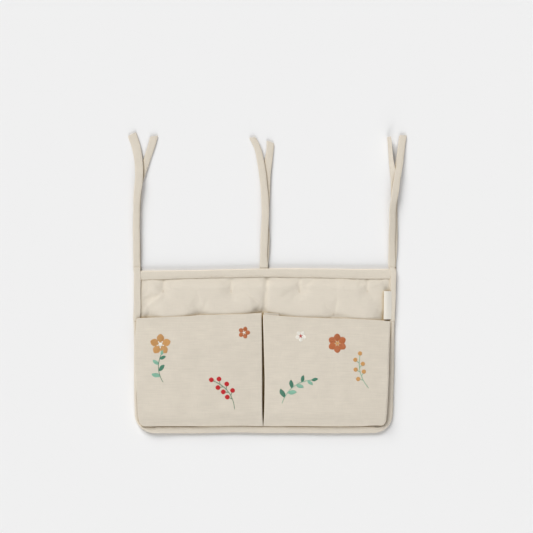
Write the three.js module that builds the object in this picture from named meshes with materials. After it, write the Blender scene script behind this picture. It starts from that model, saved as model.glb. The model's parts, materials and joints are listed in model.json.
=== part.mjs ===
// Bedside caddy: a quilted cotton panel with two deep gusseted pockets and three pairs of tie tapes.
// It lies on its back. Millimetres, +X to the right, +Y towards the ties, +Z out of the pocket
// faces, with the origin in the middle of the flat back.
import * as THREE from "three";

const { lerp, smoothstep, degToRad } = THREE.MathUtils;

// Quilted panel
const panelWidth = 447;
const panelHeight = 282;
const sideLean = 3.6; // how far each side draws in from the top edge to the bottom edge
const cornerRadius = 34;
const clothThickness = 0.7;
const layerGap = 0.3;
const pinchedWadding = 0.8; // wadding squeezed flat inside the bindings and under the stitching
const waddingLoft = 5.4; // what the wadding adds where nothing holds it down
const puffRun = 42; // from a bound edge to the full height of the quilting
const rimFade = 7.5; // over which the layers come down from the bindings
const rimMargin = 0.5; // how far the squeezed rim runs on past the bindings
const rimCornerRadius = 64; // the squeezed rim is wider in the bottom corners

// Sewn tufts, in staggered rows
const tuftPitchX = 116;
const tuftPitchY = 39;
const firstTuftDrop = 39; // from the top edge to the first row
const tuftRadius = 21;
const tuftDepthShare = 0.92;
const tuftEdgeRoom = 38; // no tuft lies nearer to a side

// Folded tapes over the edges
const tapeThickness = 1;
const bindingWidth = 11.5;
const bandWidth = 16;
const foldSteps = 6;
const cornerSteps = 7;

// Divider seam between the pockets
const dividerX = -3.9;
const dividerHalfWidth = 4;
const dividerFade = 26;

// Pocket fronts
const pocketCloth = 2; // canvas doubled over at the mouth
const slitWidth = 3;
const mouthInnerDrop = 76; // from the panel's top edge to the mouths, beside the slit
const seamGap = 0.5;
const seamRise = 26; // over which the front curves up from the bottom seam
const pocketEdgeTop = 16.2; // height of a front's side edges over the back
const pocketCrown = 3.2;
const edgeRoll = 1.8; // how far the side edges turn down
const edgeRollRun = 9;
const cornerEase = 1.5; // keeps the front's corner inside the binding
// Insets from the panel's side at the mouth and at the bottom seam, and the mouth's outer end
// down from the top edge. The left front covers the binding there.
const leftPocket = { mouthInset: 0, seamInset: 8, mouthOuterDrop: 86.4 };
const rightPocket = { mouthInset: 10, seamInset: 17, mouthOuterDrop: 90.5 };

// Pleated gussets at the pocket sides
const gussetThickness = 0.8;
const gussetFold = 7; // how far the pleat goes in past its seam
const pleatRadius = 1;
const pleatSteps = 4;
const gussetEdgeInset = 1.4;
const outerSeamInset = 1.2; // from the binding's inner line to the outer gusset seam
const innerSeamOffset = 2; // from the divider to the inner gusset seam
const gussetLowHeight = 11; // above the bottom seam, where the pleat runs out
const mouthSetback = 3;
const gussetSteps = 8;

// Tie tapes
const tieLength = 230;
const tieWidth = 12.4;
const tieThickness = 1.6;
const tieRootStraight = 7;
const tieSteps = 22;

// Side label, a folded loop caught in the right binding
const labelReach = 9.4;
const labelLength = 48.5;
const labelThickness = 0.9;
const labelTopDrop = 38.7; // from the panel's top edge

// Worked-out sizes
const panelTop = panelHeight / 2;
const panelBottom = -panelHeight / 2;
const stackHeight = 2 * tapeThickness + 4 * layerGap + 2 * clothThickness + pinchedWadding;
const foldRadius = stackHeight / 2;
const layerInset = foldRadius + layerGap;
const leanAngle = Math.atan(sideLean / panelHeight);
const liningRise = tapeThickness + layerGap;
const rimFaceTop = stackHeight - liningRise;
const mouthInnerY = panelTop - mouthInnerDrop;
const tieRootY = panelTop - foldRadius + Math.sqrt(
  (foldRadius + layerGap + tieThickness / 2) ** 2 - ((tieThickness + layerGap) / 2) ** 2
);
const tieRootZ = {
  front: foldRadius + (tieThickness + layerGap) / 2,
  back: foldRadius - (tieThickness + layerGap) / 2
};

const canvas = new THREE.MeshStandardMaterial({ color: 0xded5c6, roughness: 0.95, metalness: 0 });
const tape = new THREE.MeshStandardMaterial({ color: 0xd9d0c0, roughness: 0.95, metalness: 0 });
const wool = new THREE.MeshStandardMaterial({ color: 0xf1eee6, roughness: 1, metalness: 0 });
const satin = new THREE.MeshStandardMaterial({ color: 0xf3efe6, roughness: 0.7, metalness: 0 });

const caddy = new THREE.Group();

// A named mesh from vertices and triangles, turned so that its faces point outwards.
function addSolid(name, vertices, triangles, material) {
  let volume = 0;
  for (const [a, b, c] of triangles) {
    volume += vertices[a].dot(new THREE.Vector3().crossVectors(vertices[b], vertices[c]));
  }
  const outward = volume < 0 ? triangles.map(([a, b, c]) => [a, c, b]) : triangles;
  const geometry = new THREE.BufferGeometry().setFromPoints(vertices);
  geometry.setIndex(outward.flat());
  geometry.computeVertexNormals();
  const mesh = new THREE.Mesh(geometry, material);
  mesh.name = name;
  caddy.add(mesh);
}

// A closed sheet over a grid of places, each with an upper and a lower point.
function addSheet(name, columns, rows, place, material) {
  const vertices = [];
  const triangles = [];
  const wide = columns.length;
  const count = wide * rows.length;
  for (const row of rows) {
    for (const column of columns) vertices.push(place(column, row).upper);
  }
  for (const row of rows) {
    for (const column of columns) vertices.push(place(column, row).lower);
  }
  const quad = (a, b, c, d) => triangles.push([a, b, c], [a, c, d]);
  for (let j = 0; j + 1 < rows.length; j++) {
    for (let i = 0; i + 1 < wide; i++) {
      const a = j * wide + i;
      quad(a, a + 1, a + wide + 1, a + wide);
      quad(count + a, count + a + wide, count + a + wide + 1, count + a + 1);
    }
    const left = j * wide;
    const right = left + wide - 1;
    quad(count + left, left, left + wide, count + left + wide);
    quad(count + right, count + right + wide, right + wide, right);
  }
  for (let i = 0; i + 1 < wide; i++) {
    const far = count - wide + i;
    quad(count + i, count + i + 1, i + 1, i);
    quad(count + far + 1, count + far, far, far + 1);
  }
  addSolid(name, vertices, triangles, material);
}

// A closed loft through rings of points that all follow one flat section.
function addLoft(name, section, rings, material) {
  const size = section.length;
  const vertices = rings.flat();
  const triangles = [];
  const turned = THREE.ShapeUtils.isClockWise(section);
  for (let k = 0; k + 1 < rings.length; k++) {
    for (let i = 0; i < size; i++) {
      const a = k * size + i;
      const b = k * size + ((i + 1) % size);
      const side = [[a, b, b + size], [a, b + size, a + size]];
      triangles.push(...side.map(([p, q, r]) => (turned ? [p, r, q] : [p, q, r])));
    }
  }
  const last = (rings.length - 1) * size;
  const order = turned ? [...section.keys()].reverse() : [...section.keys()];
  const contour = order.map((i) => section[i]);
  for (const [p, q, r] of THREE.ShapeUtils.triangulateShape(contour, [])) {
    const [a, b, c] = [order[p], order[q], order[r]];
    triangles.push([a, c, b], [last + a, last + b, last + c]);
  }
  addSolid(name, vertices, triangles, material);
}

// Plan of the panel

function sideHalf(y) {
  return panelWidth / 2 - Math.tan(leanAngle) * (panelTop - y);
}

// Centre of a bottom corner's arc that touches the leaning side and the bottom edge.
function cornerCentre(radius) {
  const y = panelBottom + radius;
  const drop = (panelTop - y) * Math.sin(leanAngle);
  return { x: panelWidth / 2 - (radius + drop) / Math.cos(leanAngle), y };
}

// Distance in from the side and bottom edges, with bottom corners of the given radius.
function edgeDistance(x, y, radius) {
  const across = Math.abs(x);
  const corner = cornerCentre(radius);
  if (across > corner.x && y < corner.y) {
    return radius - Math.hypot(across - corner.x, y - corner.y);
  }
  const fromSide = (panelWidth / 2 - across) * Math.cos(leanAngle)
    - (panelTop - y) * Math.sin(leanAngle);
  return Math.min(fromSide, y - panelBottom);
}

// Half the width of the panel's layers at a height.
function layerHalf(y) {
  const corner = cornerCentre(cornerRadius);
  if (y >= corner.y) return sideHalf(y) - layerInset;
  const reach = cornerRadius - layerInset;
  const drop = Math.min(corner.y - y, reach);
  return corner.x + Math.sqrt(reach ** 2 - drop ** 2);
}

// Heights of the panel's layers

// 1 where the bindings squeeze the layers, 0 where they lie free.
function rim(x, y) {
  const fromEdge = edgeDistance(x, y, rimCornerRadius) - bindingWidth - rimMargin;
  const fromTop = panelTop - y - bandWidth - rimMargin;
  return 1 - smoothstep(Math.min(fromEdge, fromTop), 0, rimFade);
}

const tufts = [];
const tuftRows = Math.floor((panelHeight - firstTuftDrop - cornerRadius) / tuftPitchY) + 1;
for (let row = 0; row < tuftRows; row++) {
  const y = panelTop - firstTuftDrop - row * tuftPitchY;
  const shift = row % 2 === 0 ? tuftPitchX / 2 : 0;
  const reach = Math.ceil(panelWidth / tuftPitchX);
  for (let k = -reach; k <= reach; k++) {
    const x = k * tuftPitchX + shift;
    if (Math.abs(x) <= panelWidth / 2 - tuftEdgeRoom) tufts.push({ x, y });
  }
}

// How thick the wadding is: crowned, pulled down at each tuft and along the divider seam.
function waddingAt(x, y) {
  const fromEdge = edgeDistance(x, y, rimCornerRadius) - bindingWidth;
  const fromTop = panelTop - y - bandWidth;
  let share = smoothstep(Math.min(fromEdge, fromTop * 2), 0, puffRun);
  for (const tuft of tufts) {
    const reach = Math.hypot(x - tuft.x, y - tuft.y) / tuftRadius;
    share *= 1 - tuftDepthShare * Math.exp(-(reach ** 2));
  }
  const fromDivider = Math.abs(x - dividerX) - dividerHalfWidth;
  const underPocket = 1 - smoothstep(y, mouthInnerY, mouthInnerY + tuftPitchY / 4);
  share *= 1 - underPocket * (1 - smoothstep(fromDivider, 0, dividerFade));
  return pinchedWadding + waddingLoft * share * (1 - rim(x, y));
}

function liningTop(x, y) {
  return liningRise * rim(x, y) + clothThickness;
}

function faceTop(x, y) {
  return liningTop(x, y) + 2 * layerGap + waddingAt(x, y) + clothThickness;
}

// Columns are shares of the layers' half width, rows are heights, both along the tufts and seams.
const flatHalf = layerHalf(panelTop);
const innerLine = panelWidth / 2 - bindingWidth - rimMargin;
const fadeLine = innerLine - rimFade;
const tuftColumn = tuftPitchX / 6;
const columnReach = Math.floor((fadeLine - tuftColumn / 2) / tuftColumn);
const columnPlaces = [-flatHalf, -innerLine, -fadeLine];
for (let k = -columnReach; k <= columnReach; k++) {
  if (k === 0) columnPlaces.push(dividerX - dividerHalfWidth, dividerX + dividerHalfWidth);
  else columnPlaces.push(k * tuftColumn);
}
columnPlaces.push(fadeLine, innerLine, flatHalf);
const columnShares = columnPlaces.map((x) => x / flatHalf);

const bandLine = panelTop - bandWidth - rimMargin;
const cornerLine = panelBottom + cornerRadius;
const seamLine = panelBottom + bindingWidth + rimMargin;
const rimRows = [panelTop - layerInset, bandLine, bandLine - rimFade];
const openRows = [];
for (let k = -1; k <= 4; k++) openRows.push(panelTop - firstTuftDrop - k * tuftPitchY / 4);
for (let k = 3; k < 2 * tuftRows - 1; k++) openRows.push(panelTop - firstTuftDrop - k * tuftPitchY / 2);
const cornerRows = [
  cornerLine,
  (cornerLine + seamLine) / 2,
  seamLine,
  (seamLine + panelBottom + layerInset) / 2,
  panelBottom + layerInset
];
const betweenRims = openRows.filter((y) => y > cornerLine && y < bandLine - rimFade);
const faceRows = [...rimRows, ...betweenRims, ...cornerRows].reverse();
const straightFrom = Math.min(...betweenRims.filter((y) => y > cornerCentre(rimCornerRadius).y));
const curvedRows = betweenRims.filter((y) => y <= straightFrom);
const liningRows = [...rimRows, ...curvedRows, ...cornerRows].reverse();

function layerPlace(lower, upper) {
  return (share, y) => {
    const x = share * layerHalf(y);
    return {
      upper: new THREE.Vector3(x, y, upper(x, y)),
      lower: new THREE.Vector3(x, y, lower(x, y))
    };
  };
}

// The highest corner of the face cloth's grid cell at a place, so that nothing laid there cuts it.
function faceAt(x, y) {
  const row = Math.max(1, faceRows.findIndex((value) => value >= y));
  const share = x / layerHalf(y);
  const column = Math.max(1, columnShares.findIndex((value) => value >= share));
  let highest = 0;
  for (const v of [faceRows[row - 1], faceRows[row]]) {
    for (const u of [columnShares[column - 1], columnShares[column]]) {
      highest = Math.max(highest, faceTop(u * layerHalf(v), v));
    }
  }
  return highest;
}

addSheet("lining_panel", columnShares, liningRows, layerPlace(
  (x, y) => liningTop(x, y) - clothThickness,
  liningTop
), canvas);
addSheet("wadding", columnShares, faceRows, layerPlace(
  (x, y) => liningTop(x, y) + layerGap,
  (x, y) => faceTop(x, y) - clothThickness - layerGap
), wool);
addSheet("face_panel", columnShares, faceRows, layerPlace(
  (x, y) => faceTop(x, y) - clothThickness,
  faceTop
), canvas);

// Tape folded over an edge: distance in from the edge, and height.
function foldedTape(width) {
  const points = [];
  const arc = (radius, steps, from, to) => {
    for (let k = 0; k <= steps; k++) {
      const angle = degToRad(lerp(from, to, k / steps));
      points.push(new THREE.Vector2(
        foldRadius + radius * Math.cos(angle),
        foldRadius + radius * Math.sin(angle)
      ));
    }
  };
  points.push(new THREE.Vector2(width, 0));
  arc(foldRadius, foldSteps, 270, 90);
  points.push(new THREE.Vector2(width, stackHeight));
  points.push(new THREE.Vector2(width, stackHeight - tapeThickness));
  arc(foldRadius - tapeThickness, foldSteps, 90, 270);
  points.push(new THREE.Vector2(width, tapeThickness));
  return points;
}

const bandSection = foldedTape(bandWidth);
const bandHalf = sideHalf(panelTop - bandWidth) - bindingWidth - layerGap;
addLoft("top_band", bandSection, [-bandHalf, dividerX, bandHalf].map((x) => (
  bandSection.map((p) => new THREE.Vector3(x, panelTop - p.x, p.y))
)), tape);

// The side and bottom binding runs down one side, along the bottom and up the other side. At its
// two top ends the fold closes to a rounded nose in line with the band's fold.
const bindingStations = [];
for (const noseAngle of [80, 55, 28, 0]) {
  const y = panelTop - foldRadius + foldRadius * Math.sin(degToRad(noseAngle));
  bindingStations.push({ x: -sideHalf(y), y, inX: 1, inY: 0, tall: Math.cos(degToRad(noseAngle)) });
}
const bindingCorner = cornerCentre(cornerRadius);
for (let k = 0; k <= cornerSteps; k++) {
  const angle = lerp(-leanAngle, -Math.PI / 2, k / cornerSteps);
  bindingStations.push({
    x: -bindingCorner.x - cornerRadius * Math.cos(angle),
    y: bindingCorner.y + cornerRadius * Math.sin(angle),
    inX: Math.cos(angle),
    inY: -Math.sin(angle),
    tall: 1
  });
}
const mirrored = bindingStations.map((s) => ({ ...s, x: -s.x, inX: -s.inX })).reverse();
const bindingSection = foldedTape(bindingWidth);
addLoft("edge_binding", bindingSection, [...bindingStations, ...mirrored].map((s) => (
  bindingSection.map((p) => new THREE.Vector3(
    s.x + s.inX * p.x,
    s.y + s.inY * p.x,
    foldRadius + (p.y - foldRadius) * s.tall
  ))
)), tape);

// Pockets

const seamY = panelBottom + bindingWidth + seamGap;
const seamTop = rimFaceTop + seamGap + pocketCloth;
const frontRowShares = [0, 0.015, 0.04, 0.08, 0.13, 0.2, 0.34, 0.5, 0.66, 0.82, 0.94, 1];
const frontColumnShares = [0, 0.02, 0.05, 0.14, 0.3, 0.5, 0.7, 0.86, 0.95, 0.98, 1];

// Shape of one pocket front; side is -1 on the left and 1 on the right.
function pocketShape(side, size) {
  const innerX = dividerX + side * slitWidth / 2;
  const mouthOuterY = panelTop - size.mouthOuterDrop;
  const seamOuterX = panelWidth / 2 - size.seamInset;
  const cornerX = bindingCorner.x - cornerEase;
  const radius = seamOuterX - cornerX;
  const outerX = (y) => {
    const up = y - seamY;
    const lean = (size.seamInset - size.mouthInset) * smoothstep(y, seamY, mouthOuterY);
    if (up >= radius) return side * (seamOuterX + lean);
    return side * (cornerX + Math.sqrt(radius ** 2 - (radius - up) ** 2) + lean);
  };
  const top = (x, y) => {
    const lift = Math.sin(Math.PI / 2 * Math.min((y - seamY) / seamRise, 1));
    const half = Math.abs(outerX(y) - innerX) / 2;
    const fromEdge = half - Math.abs(x - (outerX(y) + innerX) / 2);
    const across = 1 - (1 - fromEdge / half) ** 2;
    const roll = edgeRoll * (1 - smoothstep(fromEdge, 0, edgeRollRun));
    return lerp(seamTop, pocketEdgeTop + pocketCrown * across - roll, lift);
  };
  return { side, innerX, outerX, top, mouthOuterY };
}

function addPocketFront(name, shape) {
  addSheet(name, frontColumnShares, frontRowShares, (across, up) => {
    const columnX = lerp(shape.innerX, shape.outerX(shape.mouthOuterY), across);
    const mouthShare = (columnX - shape.innerX) / (shape.outerX(shape.mouthOuterY) - shape.innerX);
    const y = lerp(seamY, lerp(mouthInnerY, shape.mouthOuterY, mouthShare), up);
    const x = lerp(shape.innerX, shape.outerX(y), across);
    const z = shape.top(x, y);
    return { upper: new THREE.Vector3(x, y, z), lower: new THREE.Vector3(x, y, z - pocketCloth) };
  }, canvas);
}

// Centre line of a pleat: in from the front's edge, round the fold and back out to the seam.
function pleatLine(top, seam, inward) {
  const centreX = seam.x + inward * (gussetFold - pleatRadius);
  const centreZ = (top.y + seam.y) / 2;
  const points = [top];
  for (let k = 0; k <= pleatSteps; k++) {
    const angle = degToRad(lerp(90, -90, k / pleatSteps));
    points.push(new THREE.Vector2(
      centreX + inward * pleatRadius * Math.cos(angle),
      centreZ + pleatRadius * Math.sin(angle)
    ));
  }
  return [...points, seam];
}

// A closed section of even thickness along a bent centre line.
function thickened(line, thickness) {
  const normals = line.map((point, i) => {
    const ahead = line[Math.min(i + 1, line.length - 1)].clone().sub(point).normalize();
    const behind = point.clone().sub(line[Math.max(i - 1, 0)]).normalize();
    const along = ahead.add(behind).normalize();
    return new THREE.Vector2(-along.y, along.x);
  });
  const offset = (i, by) => line[i].clone().addScaledVector(normals[i], by);
  const near = line.map((_, i) => offset(i, thickness / 2));
  const far = line.map((_, i) => offset(i, -thickness / 2)).reverse();
  return [...near, ...far];
}

// A pleated strip between the panel and a front's side edge, folded in towards the pocket.
function addGusset(name, shape, edgeAt, seamAt, inward, mouthY) {
  const rings = [];
  let section = [];
  const lowY = seamY + gussetLowHeight;
  for (let k = 0; k <= gussetSteps; k++) {
    const y = lerp(lowY, mouthY - mouthSetback, k / gussetSteps);
    const topX = edgeAt(y) + inward * gussetEdgeInset;
    const seamX = seamAt(y);
    const half = gussetThickness / 2;
    const topZ = shape.top(topX, y) - pocketCloth - layerGap - half;
    const seamZ = faceAt(seamX, y) + layerGap + half;
    const line = pleatLine(
      new THREE.Vector2(topX, topZ),
      new THREE.Vector2(seamX, seamZ),
      inward
    );
    section = thickened(line, gussetThickness);
    rings.push(section.map((p) => new THREE.Vector3(p.x, y, p.y)));
  }
  addLoft(name, section, rings, canvas);
}

for (const [label, side, size] of [["left", -1, leftPocket], ["right", 1, rightPocket]]) {
  const shape = pocketShape(side, size);
  addPocketFront(`${label}_pocket_front`, shape);
  addGusset(
    `${label}_pocket_outer_gusset`,
    shape,
    shape.outerX,
    (y) => side * (-edgeSeamInset(y) + sideHalf(y)),
    -side,
    shape.mouthOuterY
  );
  addGusset(
    `${label}_pocket_inner_gusset`,
    shape,
    () => shape.innerX,
    () => dividerX + side * innerSeamOffset,
    side,
    mouthInnerY
  );
}

// Distance from the panel's side to the outer gusset seam, which turns in with the bottom corner.
function edgeSeamInset(y) {
  const straight = bindingWidth + outerSeamInset;
  const drop = bindingCorner.y - y;
  if (drop <= 0) return straight;
  const reach = cornerRadius - straight;
  const turned = bindingCorner.x + Math.sqrt(reach ** 2 - Math.min(drop, reach) ** 2);
  return sideHalf(y) - turned;
}

// Ties

// Each route goes from the root to the tip in shares of the tape's length: how far along, how far
// to the right and how far up off the surface that the caddy lies on, then the degrees that it
// rolls, below zero where its right edge is raised.
const leftFrontShares = [
  [0.12, -0.002, 0.02, 0], [0.3, -0.003, 0.036, 0], [0.5, 0.002, 0.038, 0], [0.66, 0.014, 0.03, 0],
  [0.78, 0.014, 0.02, 0], [0.9, 0, 0.012, 0], [0.99, -0.033, 0.014, 0]
];
const leftBackShares = [
  [0.12, 0, 0.01, 0], [0.3, 0, 0.022, 0], [0.5, 0.004, 0.022, 0], [0.62, 0.012, 0.016, 0],
  [0.7, 0.038, 0.009, 0], [0.8, 0.066, 0.002, 0], [0.9, 0.094, 0, 0], [0.975, 0.118, 0.01, 0]
];
const centreFrontShares = [
  [0.12, 0.002, 0.02, 0], [0.3, 0.008, 0.036, 0], [0.5, 0.009, 0.038, 0], [0.64, -0.002, 0.03, 0],
  [0.78, -0.018, 0.02, 0], [0.9, -0.046, 0.012, 0], [0.975, -0.083, 0.016, 0]
];
const centreBackShares = [
  [0.12, -0.001, 0.01, 0], [0.3, -0.001, 0.022, 0], [0.5, 0.004, 0.022, 0], [0.66, 0.014, 0.014, 0],
  [0.78, 0.027, 0.008, 0], [0.88, 0.036, 0, 0], [0.935, 0.041, 0.01, 0]
];
const rightFrontShares = [
  [0.12, 0.001, 0.02, 0], [0.3, 0.002, 0.036, 0], [0.45, 0.006, 0.042, 0], [0.55, 0.025, 0.044, 0],
  [0.63, 0.034, 0.044, 0], [0.716, 0.047, 0.04, 0], [0.8, 0.058, 0.032, 0], [0.89, 0.072, 0.02, 0],
  [0.98, 0.088, 0.016, 0]
];
const rightBackShares = [
  [0.12, 0.007, 0.01, 0], [0.3, 0.01, 0.02, 0], [0.46, 0.01, 0.02, 0], [0.55, 0.005, 0.018, -3],
  [0.63, 0, 0.012, -8], [0.716, -0.008, 0.008, -20], [0.8, -0.015, 0.006, -38],
  [0.89, -0.023, 0.004, -48], [0.968, -0.034, 0.004, -50]
];

// Flat tape with rounded edges: across and through the tape.
const tapeSection = [
  new THREE.Vector2(-tieWidth / 2, 0),
  new THREE.Vector2(-(tieWidth - tieThickness) / 2, -tieThickness / 2),
  new THREE.Vector2((tieWidth - tieThickness) / 2, -tieThickness / 2),
  new THREE.Vector2(tieWidth / 2, 0),
  new THREE.Vector2((tieWidth - tieThickness) / 2, tieThickness / 2),
  new THREE.Vector2(-(tieWidth - tieThickness) / 2, tieThickness / 2)
];

// Half the height that a rolled tape takes up.
function rolledHalf(angle) {
  return tieWidth / 2 * Math.sin(Math.abs(angle)) + tieThickness / 2 * Math.cos(angle);
}

function addTie(name, rootX, rootZ, routeShares) {
  const root = new THREE.Vector3(rootX, tieRootY, rootZ);
  const straight = root.clone().setY(tieRootY + tieRootStraight);
  const rolls = [0, 0, ...routeShares.map(([, , , degrees]) => degToRad(degrees))];
  const points = routeShares.map(([along, sideways, up], k) => new THREE.Vector3(
    rootX + sideways * tieLength,
    tieRootY + along * tieLength,
    rolledHalf(rolls[k + 2]) + up * tieLength
  ));
  const route = new THREE.CatmullRomCurve3([root, straight, ...points]);
  const rings = [];
  const addRing = (centre, along, roll, thin) => {
    const across = new THREE.Vector3().crossVectors(along, new THREE.Vector3(0, 0, 1)).normalize();
    const through = new THREE.Vector3().crossVectors(across, along);
    across.applyAxisAngle(along, -roll);
    through.applyAxisAngle(along, -roll);
    rings.push(tapeSection.map((p) => (
      centre.clone().addScaledVector(across, p.x).addScaledVector(through, p.y * thin)
    )));
  };
  // The root end is a half round about the hinge line.
  for (const angle of [20, 50]) {
    const back = tieThickness / 2 * Math.cos(degToRad(angle));
    const centre = root.clone().setY(tieRootY - back);
    addRing(centre, new THREE.Vector3(0, 1, 0), 0, Math.sin(degToRad(angle)));
  }
  for (let k = 0; k <= tieSteps; k++) {
    const t = k / tieSteps;
    const knot = Math.min(Math.floor(t * (rolls.length - 1)), rolls.length - 2);
    const roll = lerp(rolls[knot], rolls[knot + 1], t * (rolls.length - 1) - knot);
    const centre = route.getPoint(t);
    centre.z = Math.max(centre.z, rolledHalf(roll));
    addRing(centre, k === 0 ? new THREE.Vector3(0, 1, 0) : route.getTangent(t), roll, 1);
  }
  addLoft(name, tapeSection, rings, tape);
}

const outerTieX = panelWidth / 2 - tieWidth / 2;
const tieSpread = 1.5; // how far the tapes are sewn on out of line with each other or the side
addTie("left_tie_front", -outerTieX - tieSpread + layerGap, tieRootZ.front, leftFrontShares);
addTie("left_tie_back", -outerTieX - tieSpread + 2 * layerGap, tieRootZ.back, leftBackShares);
addTie("centre_tie_front", dividerX + tieSpread, tieRootZ.front, centreFrontShares);
addTie("centre_tie_back", dividerX + 2 * tieSpread, tieRootZ.back, centreBackShares);
addTie("right_tie_front", outerTieX - tieSpread, tieRootZ.front, rightFrontShares);
addTie("right_tie_back", outerTieX - layerGap, tieRootZ.back, rightBackShares);

// Label

const labelTop = panelTop - labelTopDrop;
const labelRoot = sideHalf(labelTop - labelLength) - bindingWidth - layerGap;
const labelHeight = faceAt(labelRoot, labelTop) + layerGap;
const labelSection = [new THREE.Vector2(labelRoot, 0)];
for (let k = 0; k <= foldSteps; k++) {
  const angle = degToRad(lerp(270, 90, k / foldSteps));
  labelSection.push(new THREE.Vector2(
    labelRoot - labelReach + labelThickness / 2 * (1 + Math.cos(angle)),
    labelThickness / 2 * (1 + Math.sin(angle))
  ));
}
labelSection.push(new THREE.Vector2(labelRoot, labelThickness));
addLoft("side_label", labelSection, [labelTop - labelLength, labelTop].map((y) => (
  labelSection.map((p) => new THREE.Vector3(p.x, y, labelHeight + p.y))
)), satin);

export default caddy;
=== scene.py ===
"""Bedside caddy: a quilted cotton panel with two gusseted pockets and three pairs of tie tapes.

The sections follow the caddy as it is sewn: the layers of the panel, the pockets, the tapes round
the edges, the ties and the label. Sizes are in metres.
"""

import json
import math

import bmesh
import bpy
import numpy as np
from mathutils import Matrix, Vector
from mathutils.bvhtree import BVHTree

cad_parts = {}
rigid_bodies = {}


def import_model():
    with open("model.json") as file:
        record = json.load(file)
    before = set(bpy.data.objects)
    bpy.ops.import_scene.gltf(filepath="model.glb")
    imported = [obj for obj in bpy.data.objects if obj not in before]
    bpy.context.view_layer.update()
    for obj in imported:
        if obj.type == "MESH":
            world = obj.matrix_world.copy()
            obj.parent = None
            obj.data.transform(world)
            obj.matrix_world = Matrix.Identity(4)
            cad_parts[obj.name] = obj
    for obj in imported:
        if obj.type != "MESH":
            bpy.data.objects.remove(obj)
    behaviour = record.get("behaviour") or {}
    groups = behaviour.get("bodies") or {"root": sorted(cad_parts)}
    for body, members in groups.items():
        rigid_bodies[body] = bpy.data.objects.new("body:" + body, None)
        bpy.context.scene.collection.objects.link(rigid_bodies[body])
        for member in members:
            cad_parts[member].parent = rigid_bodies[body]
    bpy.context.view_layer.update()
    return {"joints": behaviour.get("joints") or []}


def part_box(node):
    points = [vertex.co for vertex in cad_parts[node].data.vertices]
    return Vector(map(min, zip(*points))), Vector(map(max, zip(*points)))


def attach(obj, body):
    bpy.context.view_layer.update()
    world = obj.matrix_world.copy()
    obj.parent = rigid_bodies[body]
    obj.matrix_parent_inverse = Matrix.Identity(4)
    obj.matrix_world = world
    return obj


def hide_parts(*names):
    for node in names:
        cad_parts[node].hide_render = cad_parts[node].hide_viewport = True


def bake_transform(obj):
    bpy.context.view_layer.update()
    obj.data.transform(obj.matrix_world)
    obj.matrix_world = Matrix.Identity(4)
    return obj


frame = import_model()
cad_pieces = list(bpy.context.scene.objects)


# The panel's outline
# The layers are cut to one rounded rectangle, a little narrower at the foot. The bound edge is
# one even stack of tape, cloth and squeezed wadding, and every other piece is laid out from it.
binding_low, binding_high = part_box("edge_binding")
panel_half = binding_high.x
panel_top = binding_high.y
panel_foot = binding_low.y
stack_height = binding_high.z
side_lean = 0.0036
lean_angle = math.atan(side_lean / (panel_top - panel_foot))
corner_radius = 0.034
rim_corner_radius = 0.064
binding_width = 0.0115
band_width = 0.016
tape_thickness = 0.001
cloth_thickness = 0.0007
layer_gap = 0.0003
layer_inset = stack_height / 2 + layer_gap


def ease(value, start, end):
    share = np.clip((value - start) / (end - start), 0, 1)
    return share * share * (3 - 2 * share)


def side_half(y):
    return panel_half - math.tan(lean_angle) * (panel_top - y)


def corner_centre(radius):
    y = panel_foot + radius
    drop = (panel_top - y) * math.sin(lean_angle)
    return panel_half - (radius + drop) / math.cos(lean_angle), y


def edge_distance(x, y, radius):
    """Distance in from the side and bottom edges, with bottom corners of that radius."""
    across = np.abs(x)
    corner_x, corner_y = corner_centre(radius)
    from_side = (panel_half - across) * math.cos(lean_angle)
    from_side = from_side - (panel_top - y) * math.sin(lean_angle)
    straight = np.minimum(from_side, y - panel_foot)
    turned = radius - np.hypot(across - corner_x, y - corner_y)
    return np.where((across > corner_x) & (y < corner_y), turned, straight)


def layer_half(y):
    """Half the width of the cut cloths at a height."""
    corner_x, corner_y = corner_centre(corner_radius)
    reach = corner_radius - layer_inset
    drop = np.clip(corner_y - y, 0, reach)
    turned = corner_x + np.sqrt(reach**2 - drop**2)
    return np.where(y >= corner_y, side_half(y) - layer_inset, turned)


# Lining
# The plain back cloth, natural cotton canvas of a plain weave. It lies flat, comes up into the
# bindings all round, and is drawn in a little where the tufts are sewn through.
canvas_rgb = (222, 213, 198)
canvas_thread_pitch = 0.00062
canvas_slub = 0.9
canvas_tone = 0.05
warp_stretch = (1500, 60, 1)
mottle_stretch = (45, 60, 1)
weave_bump = 0.6
# Shade painted into the cloths' colour where ambient occlusion finds a crevice: how far it looks, where the
# painted shade starts and is full, and its darker, warmer tints.
crevice_shade_reach = 0.014
short_shade_reach = 0.007
full_shade_openness = 0.40
crevice_samples = 6
shallow_place = 0.45
shallow_shade_tint = (0.93, 0.87, 0.75)
crevice_shade_tint = (0.50, 0.32, 0.08)
crease_angle = math.radians(50)
layer_step = 0.0022
lining_rise = tape_thickness + layer_gap
rim_margin = 0.0005
rim_fade = 0.0034
tuft_pitch_x = 0.116
tuft_pitch_y = 0.039
tuft_edge_room = 0.038
tuft_rows = 6
lining_dimple = 0.0006
lining_dimple_radius = 0.006
tufts = []
for tuft_row in range(tuft_rows):
    for tuft_place in range(-2, 3):
        tuft_x = tuft_pitch_x * (tuft_place + 0.5 * (tuft_row % 2 == 0))
        if abs(tuft_x) <= panel_half - tuft_edge_room:
            tufts.append((tuft_x, panel_top - tuft_pitch_y * (tuft_row + 1)))


def linear(rgb):
    """A colour given as 0 to 255, as the shader's linear value."""
    shares = [value / 255 for value in rgb]
    return tuple(s / 12.92 if s <= 0.04045 else ((s + 0.055) / 1.055) ** 2.4 for s in shares)


def set_inputs(tree, node, inputs):
    """Gives each input a value, or a link from another node's output."""
    for socket, value in inputs.items():
        if isinstance(value, bpy.types.NodeSocket):
            tree.links.new(value, node.inputs[socket])
        else:
            node.inputs[socket].default_value = value


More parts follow.
